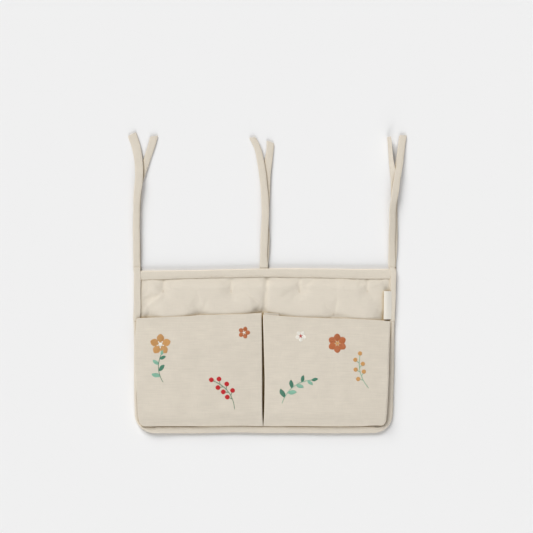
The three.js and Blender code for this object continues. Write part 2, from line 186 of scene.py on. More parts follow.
def new_node(tree, kind, inputs, **settings):
    node = tree.nodes.new(kind)
    for setting, value in settings.items():
        setattr(node, setting, value)
    set_inputs(tree, node, inputs)
    return node


def arithmetic(tree, operation, first, second=0.0):
    node = new_node(tree, "ShaderNodeMath", {0: first, 1: second}, operation=operation)
    return node.outputs["Value"]


def mixed(tree, first, second, share):
    """The first value with that share of the second in place of its own."""
    kept = arithmetic(tree, "MULTIPLY", first, 1 - share)
    return arithmetic(tree, "ADD", kept, arithmetic(tree, "MULTIPLY", second, share))


def stretched_noise(tree, places, stretch, detail):
    """Noise whose features are 1 / stretch metres long and wide."""
    scaled = new_node(tree, "ShaderNodeVectorMath", {0: places, 1: stretch}, operation="MULTIPLY")
    noise = new_node(
        tree,
        "ShaderNodeTexNoise",
        {"Vector": scaled.outputs["Vector"], "Scale": 1, "Detail": detail},
    )
    return noise.outputs["Fac"]


def new_material(name, looks):
    """A material whose shader has those inputs set, and its node tree."""
    material = bpy.data.materials.new(name)
    material.use_nodes = True
    set_inputs(material.node_tree, material.node_tree.nodes["Principled BSDF"], looks)
    return material, material.node_tree


def cloth_places(tree):
    """Each piece's own metres, from its map 'cloth'."""
    return new_node(tree, "ShaderNodeUVMap", {}, uv_map="cloth").outputs["UV"]


def add_looks(tree, colour, height, strength, depth):
    """Puts a colour and a relief on the material; no colour leaves its plain one."""
    relief = new_node(
        tree, "ShaderNodeBump", {"Strength": strength, "Distance": depth, "Height": height}
    )
    looks = {"Normal": relief.outputs["Normal"]}
    if colour is not None:
        looks["Base Color"] = colour
    set_inputs(tree, tree.nodes["Principled BSDF"], looks)


def spread(tree, value, low, high):
    """How far the value is on its way from low to high, 0 to 1."""
    inputs = {"Value": value, "From Min": low, "From Max": high}
    return new_node(tree, "ShaderNodeMapRange", inputs).outputs["Result"]


def toned(tree, rgb, darker, lighter, share):
    """The colour, from a darker to a lighter tone of it as the share grows."""
    dark = (*[c * darker for c in linear(rgb)], 1)
    light = (*[min(1, c * lighter) for c in linear(rgb)], 1)
    inputs = {"Factor": share, 6: dark, 7: light}
    return new_node(tree, "ShaderNodeMix", inputs, data_type="RGBA").outputs[2]


def plain_weave(tree, places, pitch):
    """Height of a plain weave, whose threads go over and under each other by turns."""
    threads = new_node(
        tree, "ShaderNodeVectorMath", {0: places, "Scale": 1 / pitch}, operation="SCALE"
    ).outputs["Vector"]
    split = new_node(tree, "ShaderNodeSeparateXYZ", {0: threads})
    over = new_node(tree, "ShaderNodeTexChecker", {"Vector": threads, "Scale": 1})
    inputs = {"Factor": over.outputs["Fac"]}
    for axis, thread in (("X", 2), ("Y", 3)):
        turn = arithmetic(tree, "MULTIPLY", split.outputs[axis], math.pi)
        inputs[thread] = arithmetic(tree, "ABSOLUTE", arithmetic(tree, "SINE", turn))
    return new_node(tree, "ShaderNodeMix", inputs).outputs[0]


def painted_crevice_shade(tree, colour, reach, shade_start_openness):
    """Paints shade into the colour in crevices, darker and warmer, as light that comes off the cloth again
    and again makes them look.
    """
    openness = new_node(
        tree, "ShaderNodeAmbientOcclusion", {"Distance": reach}, samples=crevice_samples
    )
    depth = spread(tree, openness.outputs["AO"], shade_start_openness, full_shade_openness)
    painted_shade = new_node(tree, "ShaderNodeValToRGB", {"Fac": depth})
    tints = painted_shade.color_ramp.elements
    tints[0].color = (1, 1, 1, 1)
    tints[1].color = (*crevice_shade_tint, 1)
    tints.new(shallow_place).color = (*shallow_shade_tint, 1)
    inputs = {"Factor": 1, 6: colour, 7: painted_shade.outputs["Color"]}
    shaded_colour = new_node(tree, "ShaderNodeMix", inputs, data_type="RGBA", blend_type="MULTIPLY")
    return shaded_colour.outputs[2]


def woven_cotton(
    name, rgb, pitch, slub, tone, streak=(70, 1300), reach=short_shade_reach, shade_start_openness=0.88
):
    """Plain-woven cotton with thick places in the yarn, a soft mottle and painted shade in its crevices."""
    material, tree = new_material(name, {
        "Roughness": 0.92,
        "Specular IOR Level": 0.2,
        "Sheen Weight": 0.06,
        "Sheen Roughness": 0.6,
    })
    places = cloth_places(tree)
    weft = stretched_noise(tree, places, (*streak, 1), 3)
    yarn = mixed(tree, weft, stretched_noise(tree, places, warp_stretch, 2), 0.4)
    shade = mixed(tree, yarn, stretched_noise(tree, places, mottle_stretch, 4), 0.3)
    colour = toned(tree, rgb, 1 - tone, 1 + tone, spread(tree, shade, 0.3, 0.7))
    crossings = arithmetic(tree, "MULTIPLY", plain_weave(tree, places, pitch), 0.5)
    height = arithmetic(tree, "ADD", crossings, arithmetic(tree, "MULTIPLY", yarn, slub))
    # Painted shade: the colour made darker and warmer in the cloth's crevices.
    shaded_colour = painted_crevice_shade(tree, colour, reach, shade_start_openness)
    add_looks(tree, shaded_colour, height, weave_bump, pitch / 3)
    return material


def placed(name, data):
    """A new object in the scene."""
    piece = bpy.data.objects.new(name, data)
    bpy.context.scene.collection.objects.link(piece)
    return piece


def new_piece(name, vertices, faces, places, finish):
    """A closed piece with smooth faces that point outwards, and its own metres as the map 'cloth'."""
    mesh = bpy.data.meshes.new(name)
    mesh.from_pydata(np.asarray(vertices).tolist(), [], faces)
    shell = bmesh.new()
    shell.from_mesh(mesh)
    bmesh.ops.recalc_face_normals(shell, faces=shell.faces)
    shell.to_mesh(mesh)
    shell.free()
    mesh.polygons.foreach_set("use_smooth", [True] * len(mesh.polygons))
    mesh.set_sharp_from_angle(angle=crease_angle)
    corners = np.empty(len(mesh.loops), int)
    mesh.loops.foreach_get("vertex_index", corners)
    cloth_map = mesh.uv_layers.new(name="cloth")
    cloth_map.data.foreach_set("uv", np.asarray(places)[corners].ravel())
    mesh.materials.append(finish)
    return placed(name, mesh)


def quads(a, b, c, d):
    return np.stack([a, b, c, d], axis=-1).reshape(-1, 4).tolist()


def closed_sheet(name, upper, lower, places, finish):
    """A closed sheet between two grids of points."""
    rows, columns = upper.shape[:2]
    top = np.arange(rows * columns).reshape(rows, columns)
    under = top + rows * columns
    faces = quads(top[:-1, :-1], top[:-1, 1:], top[1:, 1:], top[1:, :-1])
    faces += quads(under[:-1, :-1], under[1:, :-1], under[1:, 1:], under[:-1, 1:])
    for edge in (np.s_[:, 0], np.s_[:, -1], np.s_[0, :], np.s_[-1, :]):
        faces += quads(top[edge][:-1], top[edge][1:], under[edge][1:], under[edge][:-1])
    vertices = np.concatenate([upper.reshape(-1, 3), lower.reshape(-1, 3)])
    maps = np.tile(places.reshape(-1, 2), (2, 1))
    return new_piece(name, vertices, faces, maps, finish)


def rim_share(x, y):
    """1 where the bindings squeeze the layers, 0 where they lie free."""
    from_edge = edge_distance(x, y, rim_corner_radius) - binding_width - rim_margin
    from_top = panel_top - y - band_width - rim_margin
    return 1 - ease(np.minimum(from_edge, from_top), 0, rim_fade)


def tuft_pull(x, y, radius):
    """1 at each tuft, fading away round it."""
    pull = np.zeros_like(x)
    for tuft_x, tuft_y in tufts:
        pull = np.maximum(pull, np.exp(-((x - tuft_x) ** 2 + (y - tuft_y) ** 2) / radius**2))
    return pull


def lining_under(x, y):
    dimple = lining_dimple * tuft_pull(x, y, lining_dimple_radius)
    return lining_rise * rim_share(x, y) + dimple


def layer_grid(step):
    """Places over the cut cloth: rows from the foot to the top, columns from side to side."""
    rows = int((panel_top - panel_foot) / step)
    columns = int(2 * panel_half / step)
    heights = np.linspace(panel_foot + layer_inset, panel_top - layer_inset, rows)
    across, y = np.meshgrid(np.linspace(-1, 1, columns), heights)
    return across * layer_half(y), y


def points_at(x, y, z):
    return np.stack([x, y, z], axis=-1)


# The panel's canvas: its painted crevice shade reaches further than on the other cloths.
canvas = woven_cotton(
    "natural_canvas",
    canvas_rgb,
    canvas_thread_pitch,
    canvas_slub,
    canvas_tone,
    reach=crevice_shade_reach,
)
x, y = layer_grid(2 * layer_step)
under = lining_under(x, y)
lining = closed_sheet(
    "back_lining",
    points_at(x, y, under + cloth_thickness),
    points_at(x, y, under),
    np.stack([x, y], axis=-1),
    canvas,
)
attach(lining, "panel")
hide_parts("lining_panel")


# Wadding
# A soft polyester fleece between the cloths. It swells in the open fields and is squeezed thin
# in the bindings, at the tufts and along the seam between the pockets.
wadding_rgb = (243, 240, 232)
pinched_wadding = 0.0008
wadding_loft = 0.0054
puff_run = 0.042
tuft_radius = 0.0135
tuft_depth_share = 0.55
mouth_tuft_share = 0.24
mouth_inner_y = 0.065
divider_x = -0.0039
divider_half_width = 0.004
divider_fade = 0.032
divider_fade_right = 0.045
divider_sides = (divider_x - 0.002, divider_x + 0.005)
left_front_hold = (mouth_inner_y - 0.013, mouth_inner_y + 0.017)
right_front_hold = (mouth_inner_y - 0.020, mouth_inner_y + 0.001)
rim_lift = 0.0012
rim_lift_run = 0.010
fill_share = 0.9
fill_drop = 0.0012
fill_least = 0.4
wadding_step = 0.006


def wadding_height(x, y):
    from_edge = edge_distance(x, y, rim_corner_radius) - binding_width
    from_top = panel_top - y - band_width
    share = ease(np.minimum(from_edge, from_top * 2), 0, puff_run)
    for tuft_x, tuft_y in tufts:
        reach = ((x - tuft_x) ** 2 + (y - tuft_y) ** 2) / tuft_radius**2
        at_mouth = abs(tuft_y - mouth_inner_y) < tuft_pitch_y / 2
        share = share * (1 - (mouth_tuft_share if at_mouth else tuft_depth_share) * np.exp(-reach))
    from_divider = np.abs(x - divider_x) - divider_half_width
    to_right = ease(x, *divider_sides)
    under_left = 1 - ease(y, *left_front_hold)
    under_right = 1 - ease(y, *right_front_hold)
    under_pocket = under_left + (under_right - under_left) * to_right
    fade = np.where(x < divider_x, divider_fade, divider_fade_right)
    share = share * (1 - under_pocket * (1 - ease(from_divider / fade, 0, 1)))
    near_rim = np.exp(-np.maximum(np.minimum(from_edge, from_top), 0) / rim_lift_run)
    free = wadding_loft * share + rim_lift * near_rim
    return pinched_wadding + free * (1 - rim_share(x, y))


def wadding_under(x, y):
    return lining_rise * rim_share(x, y) + cloth_thickness + layer_gap


def fleece(name, rgb):
    looks = {"Base Color": (*linear(rgb), 1), "Roughness": 1, "Sheen Weight": 0.3}
    material, tree = new_material(name, looks)
    fibres = stretched_noise(tree, cloth_places(tree), (260, 900, 1), 6)
    add_looks(tree, None, fibres, 0.8, 0.0006)
    return material


x, y = layer_grid(wadding_step)
under = wadding_under(x, y)
fill_height = wadding_height(x, y) * fill_share - fill_drop
fill_height = np.maximum(fill_height, pinched_wadding * fill_least)
wadding = closed_sheet(
    "wadding_fill",
    points_at(x, y, under + fill_height),
    points_at(x, y, under),
    np.stack([x, y], axis=-1),
    fleece("polyester_fleece", wadding_rgb),
)
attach(wadding, "panel")
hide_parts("wadding")


# Quilted face
# The front cloth of the panel, the same canvas. The tufts draw it down, short creases run from
# the upper row to the band, one long crease runs down the middle, and it wrinkles in between.
tuft_crease_depth = 0.0009
tuft_crease_spread = 0.0032
middle_crease_depth = 0.0019
middle_crease_spread = 0.0048
middle_crease_x = 0.0030
middle_crease_lean = 0.0055
band_seam = panel_top - band_width
creases = [
    ((tuft_x, band_seam), (tuft_x, tuft_y), tuft_crease_spread, -tuft_crease_depth)
    for tuft_x, tuft_y in tufts
    if tuft_y > mouth_inner_y + tuft_pitch_y / 2
]
creases += [
    (
        (middle_crease_x, band_seam + 0.004),
        (middle_crease_x - middle_crease_lean, mouth_inner_y - 0.008),
        middle_crease_spread,
        -middle_crease_depth,
    ),
    ((-0.181, 0.096), (-0.206, 0.086), 0.0042, -0.0009),
    ((-0.172, 0.096), (-0.198, 0.078), 0.0045, 0.0009),
    ((-0.170, 0.118), (-0.158, 0.106), 0.0030, 0.0005),
    ((-0.056, 0.116), (-0.052, 0.098), 0.0035, 0.0006),
    ((-0.113, 0.066), (-0.117, 0.058), 0.0050, -0.0007),
    ((-0.008, 0.082), (-0.016, 0.066), 0.0075, -0.0012),
    ((0.190, 0.068), (0.212, 0.054), 0.0060, -0.0010),
    ((0.2005, 0.104), (0.2005, 0.052), 0.0018, -0.0006),
]
crease_start = (-0.15, 0.2)
crease_finish = (0.8, 1.15)
spare_cloth = 0.008
wrinkle_cap = 0.0009
settle_frames = 20
settle_cloth = {
    "quality": 6,
    "mass": 0.15,
    "tension_stiffness": 12,
    "compression_stiffness": 12,
    "shear_stiffness": 4,
    "bending_stiffness": 0.05,
    "use_pressure": True,
    "uniform_pressure_force": 0.6,
}
held_rim_share = 0.6
held_tuft_share = 0.4
held_tuft_radius = 0.0035
face_step = 0.0023


def fold_line(x, y, start, end, width, height):
    """A soft ridge, or a valley where the height is below zero, along a straight line."""
    (start_x, start_y), (end_x, end_y) = start, end
    run_x = end_x - start_x
    run_y = end_y - start_y
    length = math.hypot(run_x, run_y)
    along = ((x - start_x) * run_x + (y - start_y) * run_y) / length**2
    aside = ((x - start_x) * run_y - (y - start_y) * run_x) / length
    fade = ease(along, *crease_start) * (1 - ease(along, *crease_finish))
    return height * fade * np.exp(-((aside / width) ** 2))


def face_height(x, y):
    """Height of the face cloth's upper side."""
    height = wadding_under(x, y) + wadding_height(x, y) + layer_gap + cloth_thickness
    for start, end, width, lift in creases:
        height = height + fold_line(x, y, start, end, width, lift)
    return height


def settle(piece, sewn, spare, frames, cap):
    """Runs the cloth with some spare length, held where it is sewn, and keeps the wrinkles."""
    rest = np.array([v.co for v in piece.data.vertices])
    group = piece.vertex_groups.new(name="sewn")
    group.add(np.flatnonzero(sewn).tolist(), 1, "REPLACE")
    cloth = piece.modifiers.new("settle", "CLOTH")
    for setting, value in settle_cloth.items():
        setattr(cloth.settings, setting, value)
    cloth.settings.vertex_group_mass = "sewn"
    cloth.settings.shrink_min = -spare
    cloth.settings.effector_weights.gravity = 0
    cloth.point_cache.frame_start = 1
    cloth.point_cache.frame_end = frames
    scene = bpy.context.scene
    scene.frame_start = 1
    scene.frame_end = frames
    for step in range(1, frames + 1):
        scene.frame_set(step)
    evaluated = piece.evaluated_get(bpy.context.evaluated_depsgraph_get())
    moved = np.array([v.co for v in evaluated.to_mesh().vertices])
    evaluated.to_mesh_clear()
    piece.modifiers.remove(cloth)
    piece.vertex_groups.remove(group)
    scene.frame_set(1)
    shift = moved - rest
    reach = np.linalg.norm(shift, axis=1, keepdims=True)
    return shift * np.minimum(1, cap / np.maximum(reach, 1e-9))


def open_sheet(name, points, places, finish):
    rows, columns = points.shape[:2]
    index = np.arange(rows * columns).reshape(rows, columns)
    faces = quads(index[:-1, :-1], index[:-1, 1:], index[1:, 1:], index[1:, :-1])
    return new_piece(name, points.reshape(-1, 3), faces, places.reshape(-1, 2), finish)


x, y = layer_grid(face_step)
z = face_height(x, y)
top_points = points_at(x, y, z)
trial = open_sheet("face_trial", top_points, np.stack([x, y], axis=-1), canvas)
held_down = rim_share(x, y) > held_rim_share
held_down |= tuft_pull(x, y, held_tuft_radius) > held_tuft_share
under_divider = (np.abs(x - divider_x) < divider_half_width) & (y < mouth_inner_y)
wrinkles = settle(
    trial, (held_down | under_divider).ravel(), spare_cloth, settle_frames, wrinkle_cap
)
top_points = top_points + wrinkles.reshape(top_points.shape) * (1 - rim_share(x, y))[..., None]
bpy.data.meshes.remove(trial.data)
quilted_face = closed_sheet(
    "quilted_face",
    top_points,
    top_points - np.array([0, 0, cloth_thickness]),
    np.stack([x, y], axis=-1),
    canvas,
)
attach(quilted_face, "panel")
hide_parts("face_panel")


# Sewn tufts
# Short bars of cotton thread, sewn right through the layers, that hold the wadding in place.
bar_length = 0.0042
bar_pitch = 0.0007
bar_threads = 5
front_bar_lift = 0.0003
back_bar_lift = -0.0002
back_bar_share = 0.9
thread_radius = 0.00026
thread_rgb = (220, 210, 194)


def spun_thread(name, rgb, roughness, twist_pitch):
    """Sewing or embroidery thread: a soft gloss and the fine slanting lines of its twist."""
    looks = {"Roughness": roughness, "Specular IOR Level": 0.35, "Sheen Weight": 0.15}
    material, tree = new_material(name, looks)
    places = new_node(tree, "ShaderNodeTexCoord", {}).outputs["Object"]
    plies = stretched_noise(tree, places, (1 / twist_pitch,) * 3, 2)
    add_looks(tree, toned(tree, rgb, 0.82, 1.12, plies), plies, 0.5, twist_pitch / 3)
    return material


def start_tree(name, sizes):
    """A node group with a line input, named sizes, a thread material and a mesh output."""
    tree = bpy.data.node_groups.new(name, "GeometryNodeTree")
    tree.is_modifier = True
    tree.interface.new_socket("Line", in_out="INPUT", socket_type="NodeSocketGeometry")
    for label, value in sizes:
        socket = tree.interface.new_socket(label, in_out="INPUT", socket_type="NodeSocketFloat")
        socket.default_value = value
    tree.interface.new_socket("Thread", in_out="INPUT", socket_type="NodeSocketMaterial")
    tree.interface.new_socket("Mesh", in_out="OUTPUT", socket_type="NodeSocketGeometry")
    return tree, tree.nodes.new("NodeGroupInput"), tree.nodes.new("NodeGroupOutput")


def finish_tree(tree, made, thread, result):
    """The made threads, as real and smooth faces in the thread's material."""
    real = new_node(tree, "GeometryNodeRealizeInstances", {"Geometry": made})
    smooth = new_node(tree, "GeometryNodeSetShadeSmooth", {"Geometry": real.outputs["Geometry"]})
    inputs = {"Geometry": smooth.outputs["Geometry"], "Material": thread}
    dress = new_node(tree, "GeometryNodeSetMaterial", inputs)
    set_inputs(tree, result, {"Mesh": dress.outputs["Geometry"]})
    return tree


def laid_thread_tree():
    """Every edge line of a mesh becomes one round thread."""
    tree, given, result = start_tree("laid_thread", [("Thread radius", thread_radius)])
    curve = new_node(tree, "GeometryNodeMeshToCurve", {"Mesh": given.outputs["Line"]})
    profile = new_node(tree, "GeometryNodeCurvePrimitiveCircle", {
        "Resolution": 5,
        "Radius": given.outputs["Thread radius"],
    })
    tube = new_node(tree, "GeometryNodeCurveToMesh", {
        "Curve": curve.outputs["Curve"],
        "Profile Curve": profile.outputs["Curve"],
        "Fill Caps": True,
    })
    return finish_tree(tree, tube.outputs["Mesh"], given.outputs["Thread"], result)


def grown(name, lines, tree, thread, **sizes):
    """Runs a tree over lines of points and keeps the result as a plain mesh."""
    vertices = [tuple(point) for line in lines for point in line]
    edges = []
    start = 0
    for line in lines:
        edges += [(start + k, start + k + 1) for k in range(len(line) - 1)]
        start += len(line)
    mesh = bpy.data.meshes.new(name + "_lines")
    mesh.from_pydata(vertices, edges, [])
    piece = placed(name, mesh)
    modifier = piece.modifiers.new("grow", "NODES")
    modifier.node_group = tree
    values = {label.replace("_", " "): value for label, value in sizes.items()}
    values["Thread"] = thread
    for socket in tree.interface.items_tree:
        if socket.in_out == "INPUT" and socket.name in values:
            modifier[socket.identifier] = values[socket.name]
    return made_plain(piece)


def made_plain(piece):
    """Works the piece's modifiers into its mesh and removes them."""
    bpy.context.view_layer.update()
    graph = bpy.context.evaluated_depsgraph_get()
    mesh = bpy.data.meshes.new_from_object(
        piece.evaluated_get(graph), preserve_all_data_layers=True, depsgraph=graph
    )
    piece.modifiers.clear()
    given = piece.data
    piece.data = mesh
    bpy.data.meshes.remove(given)
    return piece


def solid_tree(piece):
    """The piece's faces, for finding heights on it."""
    return BVHTree.FromPolygons(
        [vertex.co for vertex in piece.data.vertices],
        [tuple(face.vertices) for face in piece.data.polygons],
    )


def height_on(tree, x, y, fallback=0.0):
    """Height of the piece's upper side at a place."""
    hit = tree.ray_cast(Vector((x, y, 0.1)), Vector((0, 0, -1)))[0]
    return fallback if hit is None else hit.z


face_tree = solid_tree(quilted_face)
laid_thread = laid_thread_tree()
sewing_thread = spun_thread("cotton_thread", thread_rgb, 0.7, 0.0004)


def bar(x, y, z_at, lift):
    """The threads of one tuft's bar, side by side."""
    lines = []
    for k in range(bar_threads):
        aside = x + (k - (bar_threads - 1) / 2) * bar_pitch / 2
        line = []
        for share in (0, 0.25, 0.5, 0.75, 1):
            along = y + (share - 0.5) * bar_length
            arch = 4 * share * (1 - share)
            line.append((aside, along, z_at(aside, along) + lift * arch))
        lines.append(line)
    return lines


face_bars = []
back_bars = []
for tuft_x, tuft_y in tufts:
    face_bars += bar(tuft_x, tuft_y, lambda a, b: height_on(face_tree, a, b), front_bar_lift)
    back_bars += bar(tuft_x, tuft_y, lambda a, b: lining_dimple * back_bar_share, back_bar_lift)
for name, bars in (("face_tuft_bars", face_bars), ("back_tuft_bars", back_bars)):
    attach(grown(name, bars, laid_thread, sewing_thread), "panel")


# Pocket fronts
# Two wide fronts of doubled canvas, sewn down at the foot. The left one is as wide as the panel
# and covers the binding, the right one ends inside it, and a narrow slit lies between them.
# The fronts' colour is the panel's canvas made a little darker: painted shade.
shaded_front_rgb = (217, 208, 193)
pocket_cloth = 0.002
seam_y = panel_foot + binding_width + 0.00005
foot_gaps = [
    (-0.206, 0.0005), (-0.130, 0.0006), (-0.122, 0.0001), (-0.010, 0), (0.000, 0.0001),
    (0.028, 0.0001), (0.036, 0.0002), (0.180, 0.0003), (0.200, 0.0016),
]
seam_top = stack_height + 0.0005
seam_rise = 0.032
seam_rise_power = 2.2
corner_lift = 0.0018
pressed_under = stack_height - lining_rise + 0.0001
mouth_press_run = 0.055
left_press = [(-0.222, 0.0084), (-0.212, 0.0075), (-0.190, 0.0062), (0.0, 0.0060)]
right_press = [
    (-0.004, 0.0036), (0.020, 0.0042), (0.045, 0.0061), (0.185, 0.0061), (0.214, 0.0074),
]
edge_room = 0.0066
edge_steps = 11
pocket_edge_top = 0.0162
pocket_crown = 0.0028
mouth_crown_loss = 0.8
mouth_thinning = 0.3
foot_crowding = 1.25
slit_roll = 0.0005
slit_roll_run = 0.002
front_step = 0.002
mouth_fold_radius = 0.0008
slit_centres = [
    (-0.129, -0.0038), (-0.118, -0.0037), (-0.075, -0.0034), (-0.049, -0.0032), (-0.024, -0.0036),
    (0.002, -0.0041), (0.027, -0.0045), (0.044, -0.0052), (0.066, -0.0050),
]
slit_widths = [
    (-0.129, 0.0004), (-0.122, 0.0016), (-0.112, 0.0026), (-0.092, 0.0038), (-0.049, 0.0044),
    (-0.010, 0.0036), (0.030, 0.0029), (0.066, 0.0023),
]
left_mouth = [
    (-0.2236, 0.0551), (-0.2119, 0.0566), (-0.1270, 0.0600), (-0.1141, 0.0616), (-0.0390, 0.0633),
    (-0.0194, 0.0646), (-0.0048, 0.0655),
]
right_mouth = [
    (-0.0031, 0.0626), (0.0246, 0.0602), (0.0588, 0.0580), (0.0980, 0.0566), (0.1144, 0.0558),
    (0.1373, 0.0560), (0.1632, 0.0545), (0.1894, 0.0534), (0.2146, 0.0508),
]
left_side = [
    (-0.129, 0.2115), (-0.114, 0.2128), (-0.100, 0.2145), (-0.083, 0.2146), (-0.066, 0.2158),
    (-0.041, 0.2185), (-0.015, 0.2199), (0.019, 0.2199), (0.039, 0.2188), (0.056, 0.2168),
]
right_side = [
    (-0.129, 0.2070), (-0.114, 0.2081), (-0.100, 0.2091), (-0.083, 0.2094), (-0.066, 0.2107),
    (-0.041, 0.2107), (-0.015, 0.2115), (0.010, 0.2125), (0.036, 0.2141), (0.051, 0.2150),
]
pockets = {
    "left": {
        "side": -1, "mouth": left_mouth, "side_places": left_side, "corner": 0.010,
        "roll": 0.0003, "roll_run": 0.0016, "press": left_press, "seed": 3,
    },
    "right": {
        "side": 1, "mouth": right_mouth, "side_places": right_side, "corner": 0.012,
        "roll": 0.0010, "roll_run": 0.0030, "press": right_press, "seed": 8,
    },
}
front_wave = 0.00035
front_wave_length = 0.055


def soft_line(x, places, blur=0.006):
    """A line through given places, with its corners rounded off."""
    known_x, known_y = zip(*places)
    near = [np.interp(x + shift, known_x, known_y) for shift in np.linspace(-blur, blur, 5)]
    return np.mean(near, axis=0)


def soft_waves(x, y, seed, length, depth):
    """Low, even unevenness, as canvas has when it lies loosely."""
    rng = np.random.default_rng(seed)
    total = np.zeros_like(x)
    for _ in range(9):
        turn = rng.uniform(0, math.pi)
        size = length * rng.uniform(0.6, 1.8)
        phase = rng.uniform(0, 2 * math.pi)
        total = total + np.sin((x * np.cos(turn) + y * np.sin(turn)) * 2 * np.pi / size + phase)
    return total * depth / 3


def slit_edge(pocket, y):
    return soft_line(y, slit_centres, 0.01) + pocket["side"] * soft_line(y, slit_widths, 0.006) / 2


def outer_edge(pocket, y):
    radius = pocket["corner"]
    drop = np.clip(radius - (y - seam_y), 0, radius)
    reach = soft_line(y, pocket["side_places"], 0.010) - radius
    return pocket["side"] * (reach + np.sqrt(radius**2 - drop**2))


def front_top(pocket, x, y):
    """Height of a front's upper side."""
    lift = 1 - (1 - np.clip((y - seam_y) / seam_rise, 0, 1)) ** seam_rise_power
    inner = slit_edge(pocket, y)
    outer = outer_edge(pocket, y)
    half = np.abs(outer - inner) / 2
    from_edge = np.clip(half - np.abs(x - (outer + inner) / 2), 0, None)
    across = 1 - (1 - from_edge / half) ** 2
    mouth_y = soft_line(x, pocket["mouth"])
    near_mouth = ease(y, mouth_y - mouth_press_run, mouth_y)
    free = pocket_edge_top + pocket_crown * across * (1 - mouth_crown_loss * near_mouth)
    free = free - near_mouth * soft_line(x, pocket["press"])
    free = free - slit_roll * (1 - ease(np.abs(x - inner), 0, slit_roll_run))
    free = free - pocket["roll"] * (1 - ease(np.abs(x - outer), 0, pocket["roll_run"]))
    free = free + soft_waves(x, y, pocket["seed"], front_wave_length, front_wave)
    corner_x = corner_centre(corner_radius)[0]
    low = seam_top + corner_lift * ease(np.abs(x), corner_x - 0.006, corner_x + 0.006)
    return low + (free - low) * lift


def pocket_front(label, pocket):
    mouth_x = outer_edge(pocket, np.array(pocket["mouth"][0 if pocket["side"] < 0 else -1][1]))
    width = float(abs(mouth_x - divider_x))
    columns = int((width - 2 * edge_room) / front_step)
    rows = int((mouth_inner_y - seam_y) / front_step)
    from_slit = np.concatenate([
        np.linspace(0, edge_room, edge_steps)[:-1],
        np.linspace(edge_room, width - edge_room, columns),
        np.linspace(width - edge_room, width, edge_steps)[1:],
    ])
    across, up = np.meshgrid(from_slit / width, np.linspace(0, 1, rows) ** foot_crowding)
    at_mouth = slit_edge(pocket, mouth_inner_y) * (1 - across) + mouth_x * across
    foot = seam_y + soft_line(at_mouth, foot_gaps, 0.003)
    y = foot + (soft_line(at_mouth, pocket["mouth"]) - foot) * up
    x = slit_edge(pocket, y) * (1 - across) + outer_edge(pocket, y) * across
    top = front_top(pocket, x, y)
    mouth_y = soft_line(x, pocket["mouth"])
    fullness = 1 - mouth_thinning * ease(y, mouth_y - mouth_press_run, mouth_y)
    front = closed_sheet(
        label + "_front_cloth",
        points_at(x, y, top),
        points_at(x, y, np.maximum(top - pocket_cloth * fullness, pressed_under)),
        np.stack([x, y], axis=-1),
        front_canvas,
    )
    bevel = front.modifiers.new("folded edge", "BEVEL")
    bevel.width = mouth_fold_radius
    bevel.segments = 3
    bevel.limit_method = "ANGLE"
    bevel.angle_limit = math.radians(60)
    made_plain(front)
    front.data.polygons.foreach_set("use_smooth", [True] * len(front.data.polygons))
    return front


# The fronts' canvas, coloured a little darker than the panel's as painted shade.
front_canvas = woven_cotton(
    "doubled_canvas", shaded_front_rgb, canvas_thread_pitch, 1.2, 0.075, streak=(34, 460)
)
front_trees = {}
for label, pocket in pockets.items():
    front = pocket_front(label, pocket)
    front_trees[label] = solid_tree(front)
    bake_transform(front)
    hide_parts(label + "_pocket_front")


# Gussets
# Narrow pleated strips of the same canvas join each front's sides to the panel. The pleats fold
# in under the fronts, and the wide one of the right pocket, beside the slit, shows at its mouth.
gusset_cloth = 0.0008
gusset_stations = 48
gusset_low = seam_y + 0.011
pleat_steps = 6
front_edge_look = 0.010
front_end_room = 0.002
pleat_radius = 0.0013
pleat_depth = 0.008
wide_pleat_depth = 0.026
wide_pleat_drop = 0.0006
mouth_tuck = 0.0015
tab_height = 0.0036
tab_end = (0.0245, 0.0272)
# The same canvas, with its painted crevice shade only in the deeper crevices.
gusset_canvas = woven_cotton(
    "gusset_canvas",
    canvas_rgb,
    canvas_thread_pitch,
    canvas_slub,
    canvas_tone,
    reach=crevice_shade_reach,
    shade_start_openness=0.6,
)


def lengths_along(points):
    """How far along a line each of its points lies."""
    steps = np.linalg.norm(np.diff(points, axis=0), axis=1)
    return np.concatenate([[0], np.cumsum(steps)])


def both_sides(line, half):
    """The two sides of a line of cloth, the second one on its way back, and the line's heading."""
    ahead = np.diff(line, axis=0)
    ahead /= np.linalg.norm(ahead, axis=1, keepdims=True)
    along = np.vstack([ahead[:1], ahead[:-1] + ahead[1:], ahead[-1:]])
    along /= np.linalg.norm(along, axis=1, keepdims=True)
    normal = np.stack([-along[:, 1], along[:, 0]], axis=-1) * half
    return line + normal, (line - normal)[::-1], along


def cloth_loop(line, thickness):
    """A closed loop round a line of cloth, and how far along it each point lies."""
    line = np.array(line)
    outside, inside, _ = both_sides(line, thickness / 2)
    run = lengths_along(line)
    return np.vstack([outside, inside]), np.concatenate([run, run[::-1]])


def swept_piece(name, rings, maps, finish):
    """A closed sweep through rings of points, with flat ends."""
    rings = np.array(rings)
    stations, points = rings.shape[:2]
    index = np.arange(stations * points).reshape(stations, points)
    around = np.roll(index, -1, axis=1)
    faces = quads(index[:-1], around[:-1], around[1:], index[1:])
    faces.append(index[0][::-1].tolist())
    faces.append(index[-1].tolist())
    return new_piece(name, rings.reshape(-1, 3), faces, np.array(maps).reshape(-1, 2), finish)


